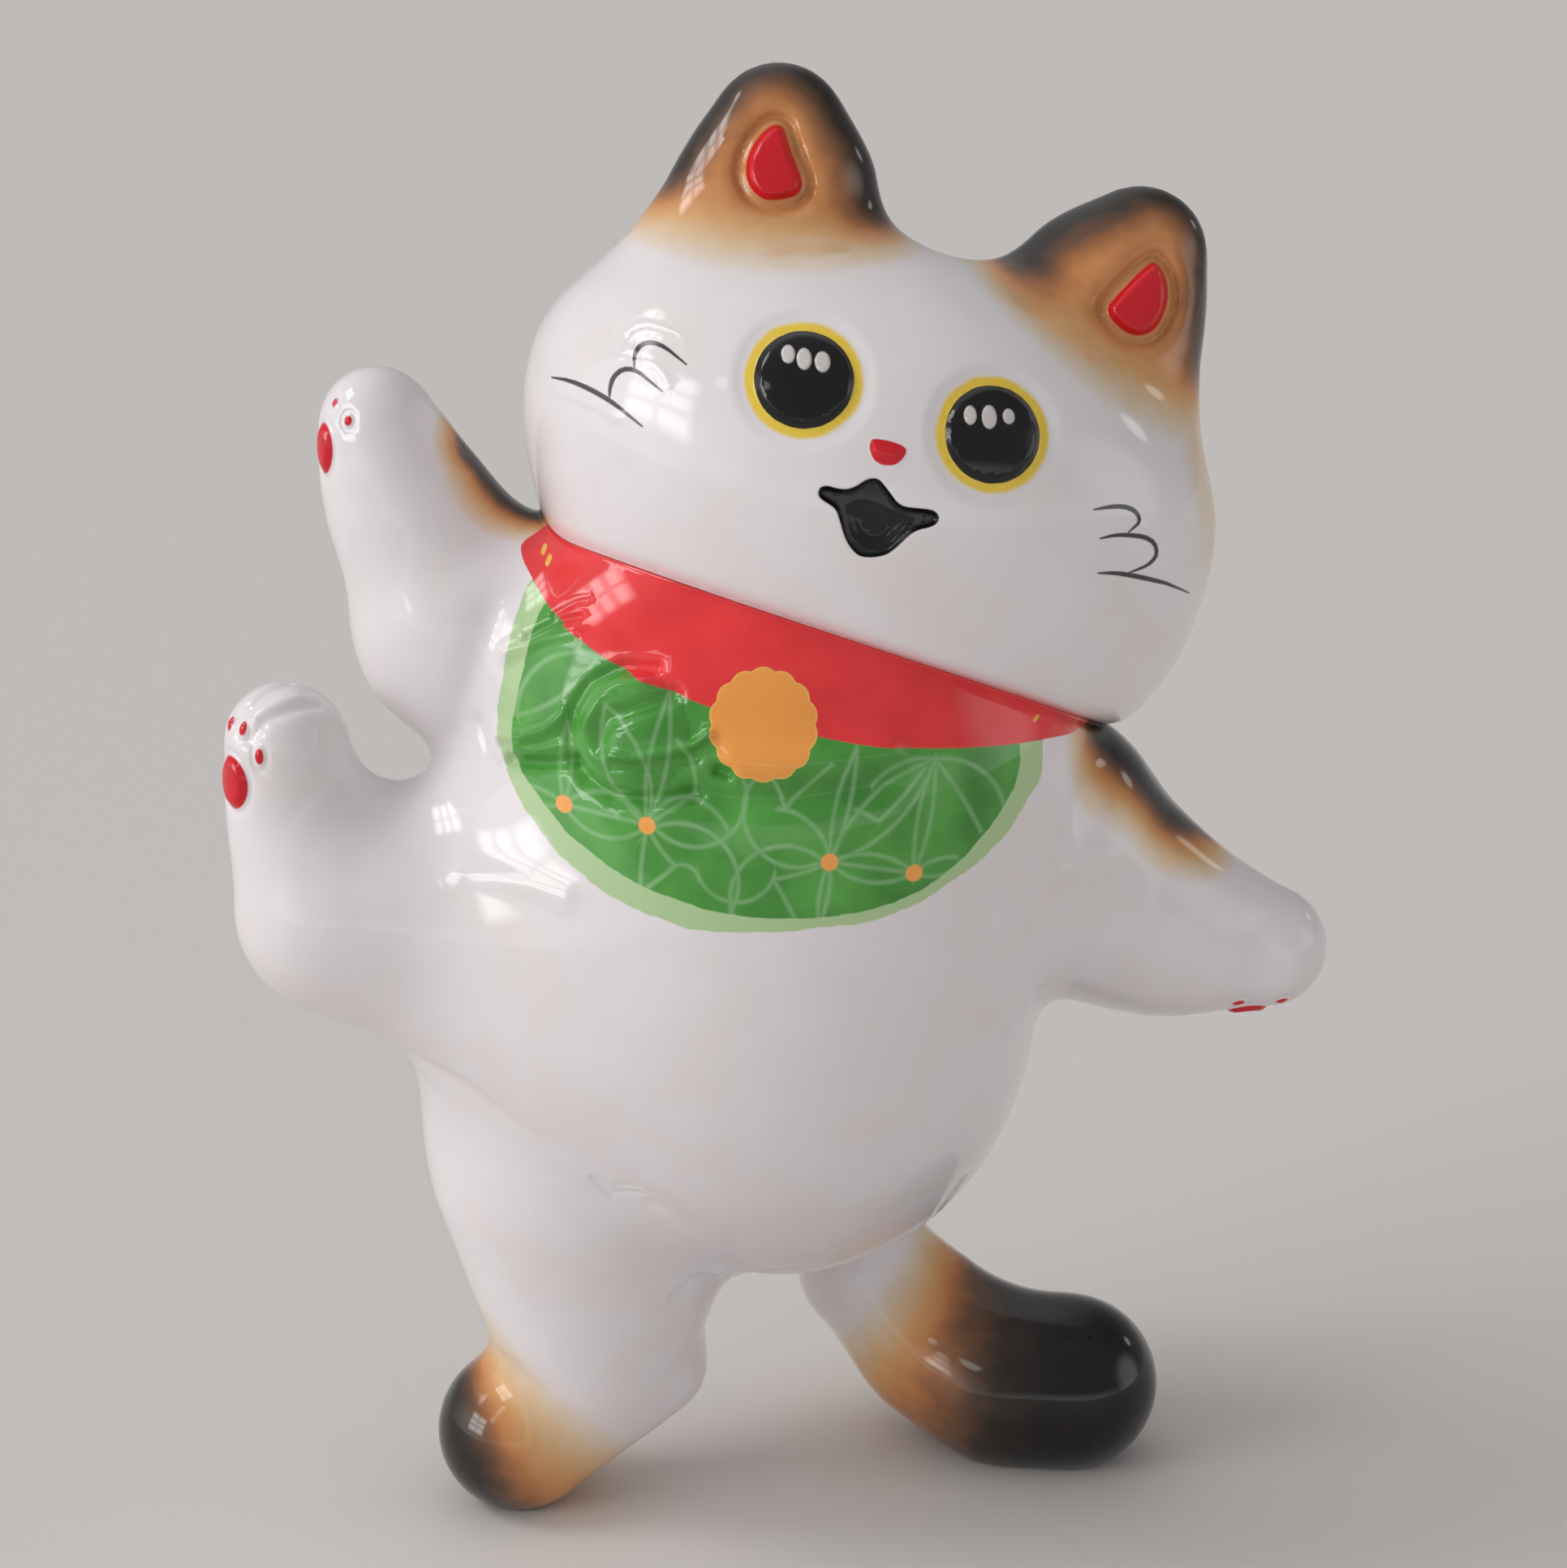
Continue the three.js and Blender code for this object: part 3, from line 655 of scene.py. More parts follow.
def refine(points, triangles):
    # Splits every edge that is too long, and each triangle beside it, so that no gap opens
    sides = np.concatenate([triangles[:, [0, 1]], triangles[:, [1, 2]], triangles[:, [2, 0]]])
    unique, back = np.unique(np.sort(sides, 1), axis=0, return_inverse=True)
    middle = points[unique].mean(1)
    length = np.sqrt(((points[unique[:, 0]] - points[unique[:, 1]]) ** 2).sum(1))
    tooLong = length > allowedEdge(middle)
    number = np.full(len(unique), -1)
    number[tooLong] = len(points) + np.arange(tooLong.sum())
    points = np.concatenate([points, ontoSurface(middle[tooLong], 2)])
    mids = number[back.ravel()].reshape(3, -1).T
    split = (mids >= 0).sum(1)
    out = [triangles[split == 0]]
    t, m = triangles[split == 3], mids[split == 3]
    out += [np.c_[t[:, 0], m[:, 0], m[:, 2]], np.c_[t[:, 1], m[:, 1], m[:, 0]],
            np.c_[t[:, 2], m[:, 2], m[:, 1]], m]
    for turn in range(3):
        order = [(n + turn) % 3 for n in range(3)]
        t, m = triangles[:, order], mids[:, order]
        one = (split == 1) & (m[:, 0] >= 0)
        out += [np.c_[t[one, 0], m[one, 0], t[one, 2]], np.c_[m[one, 0], t[one, 1], t[one, 2]]]
        two = (split == 2) & (m[:, 2] < 0)
        out += [np.c_[m[two, 0], t[two, 1], m[two, 1]], np.c_[t[two, 0], m[two, 0], m[two, 1]],
                np.c_[t[two, 0], m[two, 1], t[two, 2]]]
    return points, np.concatenate(out)


points, quads = gridMesh()
triangles = splitQuads(points, quads)
print("plain skin:", len(triangles), "triangles")
for _ in range(detail["passes"]):
    points, triangles = refine(points, triangles)
print("with its relief:", len(triangles), "triangles")


# What is painted, kept on the mesh's points

airbrush = {
    # soft strokes along the shoulders: x, y, z, radius of full black, radius where it has faded out
    "strokes": [
        [(-38, -1.8, 134.6, 0.3, 6.8), (-34.5, 0.8, 131.6, 2.2, 11.4), (-29.5, 2, 127.6, 2.6, 10.6)],
        [(41, 0, 100.5, 3.8, 18.4), (46, 0, 94.6, 3.6, 15), (51.4, 1, 89.4, 1.2, 6)]],
    "seamFade": (0, 1.5),
    # the foot's toes and the tail's tip: the way of x in which each gets darker, where it ends over z
    # and x, and its tones, caramel and then black: strength, slope over z, start and end of the fade
    "dips": [{"towards": -1, "top": (26, 33), "side": (8, 14),
              "tones": [(0.5, 0.9, 6, 27.5), (0.5, 0.38, 26, 40.5)]},
             {"towards": 1, "top": (29, 36), "side": (2, 8),
              "tones": [(0.55, 0.7, -7.5, 9.5), (0.45, 0.2, 8.5, 32.5)]}],
}

earStain = {
    "caramel": 0.55,  # strength of the caramel tone; 1 is black
    "low": 15.2,  # lowest place of the fade at the root, its curve, its middle and its tilt
    "curve": 0.0165,
    "middle": 28.0,
    "tilt": 0.03,
    "fade": (-6.0, 7.5),
    "rim": 0.43,  # how much darker the rim is
    "rimWidth": (7.6, 5.4),  # at the ear's inner edge and at its outer edge
    "outer": (18, 27),
    "rimFoot": (11, 27),
    "rimBack": (1, 6),  # the rim fades out behind the ear's edge
    "tip": (33.5, 40),
    "tipDark": 0.75,
    "side": 0.28,  # faint brown down the edge of the head
    "sideTurn": (4, 0.5),  # the height from which its edge leans in, and how much
    "sideFade": (33.0, 42.0),
    "sideHeight": (-10, 12),
    "sideBack": (-2, 20),
}

bib = {
    "green": [(-28.4, 121.5), (-30.9, 112), (-31.6, 108.4), (-31.9, 104.5), (-31.6, 102.7), (-29.8, 100.9),
        (-25.7, 96.5), (-19.8, 92.8), (-12.6, 90.2), (-5.3, 88.9), (-0.6, 88.6), (5.1, 88.5), (11.4, 89.6),
        (16.2, 91.1), (20.2, 93.9), (24.6, 98.4), (26.4, 101.8), (26.6, 106.5), (20, 112), (0, 118),
        (-20, 124)],
    "trim": [(-29.6, 123.5), (-31.2, 119), (-32.8, 114), (-33.6, 108.5), (-33.8, 104.4), (-32.6, 101),
        (-29.8, 97.2), (-24.7, 92.5), (-18.3, 88.9), (-11.1, 87.4), (-5.3, 86.9), (1.8, 87.1), (11.4, 88.1),
        (17.7, 90.4), (23.7, 94.1), (27.7, 98.6), (29.3, 101.4), (29.6, 106.5), (22, 112), (0, 118),
        (-20, 126)],
    "collar": [(-31.4, 125.6), (-31.1, 124.6), (-30.6, 123.6), (-28.4, 121), (-26.2, 119), (-20.7, 116),
        (-14.9, 113.9), (-9.1, 112), (-3, 110.3), (3.2, 108.9), (8.9, 107.7), (16.1, 106.6), (23.6, 105.7),
        (29.8, 104.9), (34.6, 103.4), (38.4, 101.9), (38.9, 103.2), (35, 112), (0, 135), (-27, 128.2),
        (-28.6, 126.9)],
    "dots": [(-25.6, 99.4), (-16.0, 98.4), (4.5, 94.9), (14.1, 92.8)],
    "dotRadius": 0.98,
    "front": 5.0,  # the transfer lies in front of this y, which leans over x
    "lean": 0.12,
    "overSeam": 0.2,  # how far it runs over the seam under the chin
}


def attach(mesh, name, values):
    attribute = mesh.attributes.new(name, "FLOAT", "POINT")
    attribute.data.foreach_set("value", np.ascontiguousarray(values, np.float32))


def taperedStroke(p, stroke):  # 1 in the heart of a soft stroke, 0 where it has faded out
    most = np.zeros(len(p))
    for a, b in zip(stroke, stroke[1:]):
        a, b = np.array(a), np.array(b)
        axis = b[:3] - a[:3]
        t = np.clip((p - a[:3]) @ axis / (axis @ axis), 0, 1)
        away = np.sqrt(((p - a[:3] - t[:, None] * axis) ** 2).sum(1))
        full, gone = (a[n] + t * (b[n] - a[n]) for n in (3, 4))
        even = np.clip((gone - away) / (gone - full), 0, 1)
        most = np.maximum(most, 0.5 * even + 0.5 * smoothStep(even, 0, 1))
    return most


def dipped(x, z, dip):
    across = dip["towards"] * x
    tones = sum(part * smoothStep(across - slope * z, low, high) for part, slope, low, high in dip["tones"])
    return (1 - smoothStep(z, *dip["top"])) * smoothStep(across, *dip["side"]) * tones


def earStained(q):  # caramel that fades at the root, with a black rim
    x, y, z = np.abs(q[:, 0]), q[:, 1], q[:, 2]
    root = earStain["low"] + earStain["curve"] * (x - earStain["middle"]) ** 2 - earStain["tilt"] * q[:, 0]
    caramel = smoothStep(z - root, *earStain["fade"])
    flat = np.stack([x, np.full(len(q), float(head["ear"][0][1])), z], 1)
    inward = limbDistance(flat, head["ear"], head["earInner"])
    inner, outer = earStain["rimWidth"]
    width = inner + (outer - inner) * smoothStep(x, *earStain["outer"])
    rim = smoothStep(inward, -width, 1) * smoothStep(z, *earStain["rimFoot"])
    rim = np.maximum(rim * (1 - smoothStep(inward, *earStain["rimBack"])),
                     earStain["tipDark"] * smoothStep(z, *earStain["tip"]))
    above, turn = earStain["sideTurn"]
    side = smoothStep(q[:, 0] + turn * np.maximum(z - above, 0), *earStain["sideFade"])
    side *= smoothStep(z, *earStain["sideHeight"]) * (1 - smoothStep(y, *earStain["sideBack"]))
    stain = (earStain["caramel"] + earStain["rim"] * rim) * caramel
    return (z > head["chin"]) * np.maximum(stain, earStain["side"] * side)


def edgeDistance(flat, rings):  # least distance to some outlines, 5 mm at most
    least = np.full(len(flat), 5.0)
    for ring in rings:
        near, s = nearOutline(flat, ring)
        least[near] = np.minimum(least[near], s)
    return least


def inTransfer(p):
    return p[:, 1] - bib["lean"] * p[:, 0] < bib["front"]


def paintPoints(mesh, p):
    q = toHead(p)
    beyondSeam = bodyDistance(p, q) - headDistance(q)  # above 0 on the head, so the bib's paint ends there
    strength = np.zeros(len(p))
    onBody = 1 - smoothStep(beyondSeam, *airbrush["seamFade"])
    for stroke in airbrush["strokes"]:
        strength = np.maximum(strength, taperedStroke(p, stroke) * onBody)
    for dip in airbrush["dips"]:
        strength = np.maximum(strength, dipped(p[:, 0], p[:, 2], dip))
    attach(mesh, "stain", np.maximum(strength, earStained(q)))

    flat = onFace(q)
    red = edgeDistance(flat, (nose["ring"], *earPatch["rings"]))
    for pad in pads:
        near, s = nearPad(p, pad, 4)
        red[near] = np.minimum(red[near], s)
    attach(mesh, "redEdge", red)
    attach(mesh, "mouthEdge", edgeDistance(flat, [mouth["ring"]]))

    chest = onFront(p, inTransfer(p))
    for name, passes in (("green", 2), ("trim", 2), ("collar", 1)):
        edge = edgeDistance(chest, [roundedOutline(bib[name], passes)])
        attach(mesh, name + "Edge", np.maximum(edge, beyondSeam - bib["overSeam"]))
    attach(mesh, "seamEdge", np.clip(beyondSeam, -5, 5))


def makeCat():
    size = figure["height"] / figure["modelledHeight"] / 1000
    mesh = bpy.data.meshes.new("glazedCat")
    mesh.vertices.add(len(points))
    mesh.vertices.foreach_set("co", (points * size).ravel())
    mesh.loops.add(3 * len(triangles))
    mesh.loops.foreach_set("vertex_index", triangles.ravel())
    mesh.polygons.add(len(triangles))
    mesh.polygons.foreach_set("loop_start", np.arange(0, 3 * len(triangles), 3))
    mesh.polygons.foreach_set("loop_total", np.full(len(triangles), 3))
    mesh.update(calc_edges=True)
    mesh.validate()
    slope = figureSlope(points)
    slope /= np.maximum(np.sqrt((slope * slope).sum(1)), 1e-6)[:, None]
    mesh.shade_smooth()
    mesh.normals_split_custom_set_from_vertices(slope)
    paintPoints(mesh, points)
    cat = bpy.data.objects.new("glazedCat", mesh)
    bpy.context.scene.collection.objects.link(cat)
    return cat


cat = makeCat()
print("skin made:", len(cat.data.polygons), "faces")


# The materials: one glaze, with more paint on the face, the cheeks and the bib

def linear(colour):  # all colours of paint are written as a screen shows them, from 0 to 255
    parts = [part / 255 for part in colour]
    return tuple(part / 12.92 if part <= 0.04045 else ((part + 0.055) / 1.055) ** 2.4 for part in parts)


class Paint:  # the nodes of one material or of the world, and the one method that adds them
    def __init__(self, owner):
        owner.use_nodes = True
        self.owner = owner
        self.tree = owner.node_tree
        self.tree.nodes.clear()

    def add(self, kind, settings=None, inputs=None):
        node = self.tree.nodes.new(kind)
        for name, value in (settings or {}).items():
            if name == "stops":
                ramp = node.color_ramp
                while len(ramp.elements) < len(value):
                    ramp.elements.new(1)
                for element, (place, colour) in zip(ramp.elements, value):
                    element.position = place
                    element.color = (*linear(colour), 1)
            else:
                setattr(node, name, value)
        for name, value in (inputs or {}).items():
            socket = node.inputs[name]
            if isinstance(value, Val):
                value = value.socket
            if isinstance(value, bpy.types.NodeSocket):
                self.tree.links.new(value, socket)
            elif socket.type == "RGBA":
                socket.default_value = (*linear(value), 1)
            else:
                socket.default_value = value
        return node

    def attribute(self, name):
        return Val(self, self.add("ShaderNodeAttribute", {"attribute_name": name}).outputs["Fac"])

    def vector(self, operation, *inputs):
        node = self.add("ShaderNodeVectorMath", {"operation": operation}, dict(enumerate(inputs)))
        if operation in ("DISTANCE", "DOT_PRODUCT", "LENGTH"):
            return Val(self, node.outputs["Value"])
        return node.outputs["Vector"]

    def point(self, x, z):
        return self.add("ShaderNodeCombineXYZ", {}, {"X": x, "Z": z}).outputs["Vector"]

    def away(self, flat, x, z):  # distance to a spot in the same plane
        return self.vector("DISTANCE", flat, (x, 0, z))

    def noise(self, place, scale, detail=2.0):
        inputs = {"Vector": place, "Scale": scale, "Detail": detail}
        return Val(self, self.add("ShaderNodeTexNoise", {}, inputs).outputs["Fac"])

    def mix(self, factor, first, second):
        node = self.add("ShaderNodeMix", {"data_type": "RGBA"}, {0: factor, 6: first, 7: second})
        return node.outputs[2]

    def ramp(self, factor, stops):
        return self.add("ShaderNodeValToRGB", {"stops": stops}, {"Fac": factor}).outputs["Color"]

    def finish(self, kind, shader):
        self.add(kind, {}, {"Surface": shader})
        return self.owner


class Val:  # a number on a socket, so that shader maths reads as plain arithmetic
    def __init__(self, paint, socket):
        self.paint, self.socket = paint, socket

    def math(self, operation, first, second=0, third=0, clamp=False):
        settings = {"operation": operation, "use_clamp": clamp}
        node = self.paint.add("ShaderNodeMath", settings, {0: first, 1: second, 2: third})
        return Val(self.paint, node.outputs[0])

    def __add__(self, other):
        return self.math("ADD", self, other)

    def __radd__(self, other):
        return self.math("ADD", other, self)

    def __sub__(self, other):
        return self.math("SUBTRACT", self, other)

    def __rsub__(self, other):
        return self.math("SUBTRACT", other, self)

    def __mul__(self, other):
        return self.math("MULTIPLY", self, other)

    def __rmul__(self, other):
        return self.math("MULTIPLY", other, self)

    def __abs__(self):
        return self.math("ABSOLUTE", self)

    def least(self, other):
        return self.math("MINIMUM", self, other)

    def most(self, other):
        return self.math("MAXIMUM", self, other)

    def clamped(self):
        return self.math("ADD", self, 0, clamp=True)

    def within(self, soft=0.06):  # 1 where an edge's distance is below 0, 0 where it is above
        return self.math("MULTIPLY", soft - self, 0.5 / soft, clamp=True)

    def spread(self, low, gain):  # a noise's middle values drawn out to run from 0 to 1
        return ((self - low) * gain).clamped()


def least(edges):
    return reduce(Val.least, edges)


glaze = {
    "white": (236, 231, 235),
    "whiteWarm": (232, 225, 224),
    "stain": [(0, (234, 229, 231)), (0.1, (231, 217, 204)), (0.24, (226, 196, 160)),
        (0.4, (218, 167, 112)), (0.55, (203, 138, 84)), (0.64, (164, 108, 68)), (0.75, (106, 74, 52)),
        (0.87, (48, 38, 32)), (1, (12, 11, 11))],
    "red": (226, 28, 44),
    "redDark": (200, 18, 34),
    "black": (9, 9, 11),
    "roughness": 0.3,  # the soft sheen under the clear gloss
    "roughnessVaries": 0.1,
    "sheen": 0.06,
    "coat": 0.8,
    "coatRoughness": 0.03,
    "slowScale": 0.09,  # noise over millimetres
    "cloudScale": 0.35,
    "cloud": 0.1,  # how uneven the stain is
    "warmSpread": (0.35, 2.5),
    "stainStarts": 9.0,  # the stain's tones replace the white from 1/9 of its strength on
}


class Surface:  # what every part of the glaze shares, before its own paint goes on
    def __init__(self, name):
        self.paint = paint = Paint(bpy.data.materials.new(name))
        place = paint.add("ShaderNodeTexCoord").outputs["Object"]
        size = 1000 * figure["modelledHeight"] / figure["height"]
        self.place = paint.vector("MULTIPLY", place, (size, size, size))  # millimetres, as the lobes are
        self.slow = paint.noise(self.place, glaze["slowScale"])
        cloud = paint.noise(self.place, glaze["cloudScale"], 1.0)
        stain = paint.attribute("stain")
        shown = (stain * glaze["stainStarts"]).clamped()
        strength = (stain + (cloud - 0.5) * glaze["cloud"] * shown).clamped()
        white = paint.mix(self.slow.spread(*glaze["warmSpread"]), glaze["white"], glaze["whiteWarm"])
        self.colour = paint.mix(shown, white, paint.ramp(strength, glaze["stain"]))
        red = paint.mix(self.slow, glaze["red"], glaze["redDark"])
        self.cover(paint.attribute("redEdge").within(0.07), red)

    def cover(self, mask, colour):
        self.colour = self.paint.mix(mask, self.colour, colour)

    def finish(self):
        paint = self.paint
        roughness = glaze["roughness"] + (self.slow - 0.5) * glaze["roughnessVaries"]
        shader = paint.add("ShaderNodeBsdfPrincipled", {}, {
            "Base Color": self.colour, "Roughness": roughness,
            "IOR": 1.5, "Specular IOR Level": glaze["sheen"], "Coat Weight": glaze["coat"],
            "Coat Roughness": glaze["coatRoughness"], "Coat IOR": 1.5})
        return paint.finish("ShaderNodeOutputMaterial", shader.outputs["BSDF"])


def headPlace(surface):  # x and z in the head's axes, on a plane in front of the face
    paint = surface.paint
    moved = paint.vector("SUBTRACT", surface.place, head["at"])
    x, z = (paint.vector("DOT_PRODUCT", moved, tuple(headTurn[:, axis])) for axis in (0, 2))
    return paint.point(x, z), x, z


face = {
    "ring": (246, 216, 84),
    "ringDark": (234, 196, 64),
    "ringNoise": 1.1,  # scales of the noise between two tones
    "glintNoise": 2.5,
    "mouthNoise": 0.8,
    "whiskerNoise": 3.0,
    "whiskerSpread": (0.45, 3),
    "ringSoft": 0.24,  # airbrushed outer edge of the yellow ring
    "ringWobble": (0.45, 0.5),  # scale of the noise that moves an edge, and how far it moves it
    "discWobble": (0.8, 0.12),
    "glint": (196, 188, 186),
    "glintPale": (222, 216, 214),
    "glintLine": (8, 8, 9),
    "glintRim": 1.22,  # outer size of the dark line around a glint
    "mouth": (9, 9, 10),
    "mouthWorn": (20, 20, 22),
    "whisker": (20, 12, 16),
    "whiskerWorn": (54, 44, 48),
    "whiskerStrength": 0.95,
}


def makeFace():
    surface = Surface("glazeFace")
    paint, place = surface.paint, surface.place
    flat, x, z = headPlace(surface)
    eye = least(paint.away(flat, *centre) for centre in eyes["centres"])
    ringTone = paint.mix(paint.noise(place, face["ringNoise"]), face["ring"], face["ringDark"])
    ringWobble, discWobble = ((paint.noise(place, scale) - 0.5) * far
                              for scale, far in (face["ringWobble"], face["discWobble"]))
    surface.cover((eye + ringWobble - eyes["ring"]).within(face["ringSoft"]), ringTone)
    surface.cover((eye + discWobble - eyes["pupil"]).within(), glaze["black"])
    level = paint.point(*upright(x, z))
    silver = paint.mix(paint.noise(place, face["glintNoise"]), face["glint"], face["glintPale"])
    for cx, cz, wide, high in eyes["glints"]:
        cx, cz = upright(cx, cz)
        rel = paint.vector("SUBTRACT", level, (cx, 0, cz))
        reach = paint.vector("LENGTH", paint.vector("DIVIDE", rel, (wide, 1, high)))
        surface.cover((reach - face["glintRim"]).within(0.08), face["glintLine"])
        surface.cover((reach - 1).within(0.09), silver)
    mouthTone = paint.mix(paint.noise(place, face["mouthNoise"]), face["mouth"], face["mouthWorn"])
    surface.cover(paint.attribute("mouthEdge").within(), mouthTone)
    return surface.finish()


def strokeEdge(paint, flat, stroke, width, tip):  # distance to a brush line that thins towards its ends
    edges = []
    pieces = len(stroke) - 1
    for number, ((ax, az), (bx, bz)) in enumerate(zip(stroke, stroke[1:])):
        dx, dz = bx - ax, bz - az
        length = dx * dx + dz * dz
        rel = paint.vector("SUBTRACT", flat, (ax, 0, az))
        along = paint.vector("DOT_PRODUCT", rel, (dx / length, 0, dz / length)).clamped()
        step = paint.add("ShaderNodeVectorMath", {"operation": "SCALE"}, {0: (dx, 0, dz), "Scale": along})
        start, end = (tip + (width - tip) * math.sin(math.pi * place / pieces) ** 0.5
                      for place in (number, number + 1))
        away = paint.vector("DISTANCE", rel, step.outputs["Vector"])
        edges.append(away - (along * (end - start) + start))
    return least(edges)


def makeCheek(name, side):  # side is -1 on the picture's left and 1 on its right
    surface = Surface(name)
    paint = surface.paint
    flat = headPlace(surface)[0]
    line = least(strokeEdge(paint, flat, roundedLine(stroke), whiskers["width"], whiskers["tip"])
                 for stroke in whiskers["strokes"] if stroke[0][0] * side > 0)
    worn = paint.noise(surface.place, face["whiskerNoise"]).spread(*face["whiskerSpread"])
    tone = paint.mix(worn, face["whisker"], face["whiskerWorn"])
    surface.cover(line.within(0.07) * face["whiskerStrength"], tone)
    return surface.finish()


transfer = {
    "green": (92, 170, 74),
    "greenDark": (60, 134, 50),
    "trim": (180, 208, 156),
    "line": (176, 214, 170),
    "lineStrength": 0.36,  # the pattern shows pale and thin over the green
    "lineWear": (0.3, 1.2, 0.4),  # scale of the noise that fades it, how much, and what is left
    "toneNoise": 0.13,
    "greenSpread": (0.3, 2.4),
    "redSpread": (0.35, 2.5),
    "collar": (244, 62, 66),
    "collarDark": (224, 48, 52),
    "seam": (120, 30, 36),  # painted shade in the seam over the collar
    "bell": (250, 170, 86),
    "bellDark": (245, 156, 70),
    "bellEdge": (244, 192, 98),
    "mark": (240, 190, 80),
    "thread": (170, 130, 62),  # thin line along the collar's lower edge
    "threadWidth": 0.07,
    "seamShadeAt": 0.1,  # middle of the seam's painted shade over the distance to the seam, and its half width
    "seamShadeHalf": 0.1,
    "seamShadeStrength": 0.8,
    "bellCentre": (-2.9, 110.1),
    "bellRadius": 6.15,
    "scallops": 14,
    "scallop": 0.36,
    "bellLine": 0.16,  # width of the pale line around the bell
    "lineWidth": 0.23,
    "lineSoft": 0.2,
    "wander": [(0.22, 1.12), (0.9, 0.35)],  # the hand-cut edge: noise scales, and how far each moves it
    "greenWander": 0.6,  # the green inside it wanders less
    # lens-shaped petals of the pattern: both ends, and half width over half length
    "petals": [((-25.6, 99.4), (-16, 98.4), 0.5), ((-25.6, 99.4), (-25.2, 108.5), 0.15),
        ((-25.6, 99.4), (-33.2, 99.9), 0.25), ((-16, 98.4), (-13.4, 113.1), 0.14),
        ((-16, 98.4), (-20.6, 111.6), 0.33), ((4.5, 94.9), (14.1, 92.8), 0.32),
        ((4.5, 94.9), (16.4, 105.4), 0.26), ((4.5, 94.9), (7.5, 107.5), 0.12),
        ((4.5, 94.9), (3.3, 87.8), 0.14), ((14.1, 92.8), (16.4, 105.4), 0.12)],
    # single curves: both ends, and how far the curve bows out to the left of the way from one to the other
    "curves": [((-25.6, 99.4), (-16, 98.4), 0.1), ((-31.3, 107.9), (-21.5, 116.3), 2.9),
        ((-31.3, 107.9), (-21.5, 116.3), -0.9), ((-16, 98.4), (-7, 98.8), 3),
        ((-16, 98.4), (-10.6, 101.9), 0.2), ((-10.6, 101.9), (-12.5, 108.4), -0.8),
        ((-16, 98.4), (-16.8, 90.6), -0.2), ((-16, 98.4), (-12.8, 94.2), -0.3),
        ((-12.8, 94.2), (-16.6, 91), 0.1), ((-12.8, 94.2), (-10.2, 93.2), 0.6),
        ((-10.2, 93.2), (-1.7, 93.3), -2.8), ((-15.4, 98.6), (-4.9, 103.6), -4.5),
        ((-4.4, 103.5), (4.2, 95.3), -4.5), ((-15.4, 98.1), (-6.9, 88.9), 5.1),
        ((4, 94.8), (-6.3, 88.8), -4.9), ((-1.1, 100.9), (4.5, 94.9), 1.5),
        ((-1.8, 104.3), (-0.5, 100.9), 0.1), ((-0.5, 100.9), (4.7, 105.9), 0.1),
        ((7.5, 100.6), (10, 99.1), 0.1), ((10, 99.1), (15.3, 104.6), -0.2),
        ((4.5, 94.9), (-1.8, 93.1), 0.2), ((-1.8, 93.1), (0.7, 88.4), 0.1),
        ((14.1, 92.8), (18.9, 93.9), 0.6), ((14.1, 92.8), (18.4, 92.4), -0.5),
        ((16.4, 105.4), (24.6, 98.2), 2), ((16.4, 105.4), (21.8, 96.4), 0.3),
        ((9.3, 103), (16.4, 105.4), 1.2), ((4.5, 94.9), (14.1, 92.8), 0.1)],
    "markWidth": 0.24,  # slanted strokes at the ends of the collar
    "marks": [[(-28.6, 124.9), (-28.4, 125.4)], [(-28.0, 124.0), (-27.7, 124.6)],
              [(28.3, 107.3), (28.6, 107.5)]],
}


def circleThrough(start, end, bow):  # centre and radius of the circle that bows out between two points
    (ax, az), (bx, bz) = start, end
    length = math.dist(start, end)
    radius = (length * length / 4 + bow * bow) / (2 * bow)  # below 0 when it bows to the right
    away = (bow - radius) / length
    return ((ax + bx) / 2 - (bz - az) * away, (az + bz) / 2 + (bx - ax) * away), abs(radius)


def petalEdge(paint, flat, start, end, ratio):  # a petal is where two circles overlap
    half = ratio * math.dist(start, end) / 2
    (left, radius), (right, _) = (circleThrough(start, end, bow) for bow in (half, -half))
    return abs(paint.away(flat, *left).most(paint.away(flat, *right)) - radius)


def curveEdge(paint, flat, start, end, bow):  # the part of a circle that lies between two points
    centre, radius = circleThrough(start, end, bow)
    middle = [(a + b) / 2 for a, b in zip(start, end)]
    onCircle = abs(paint.away(flat, *centre) - radius)
    return onCircle.most(paint.away(flat, *middle) - math.dist(start, end) / 2)


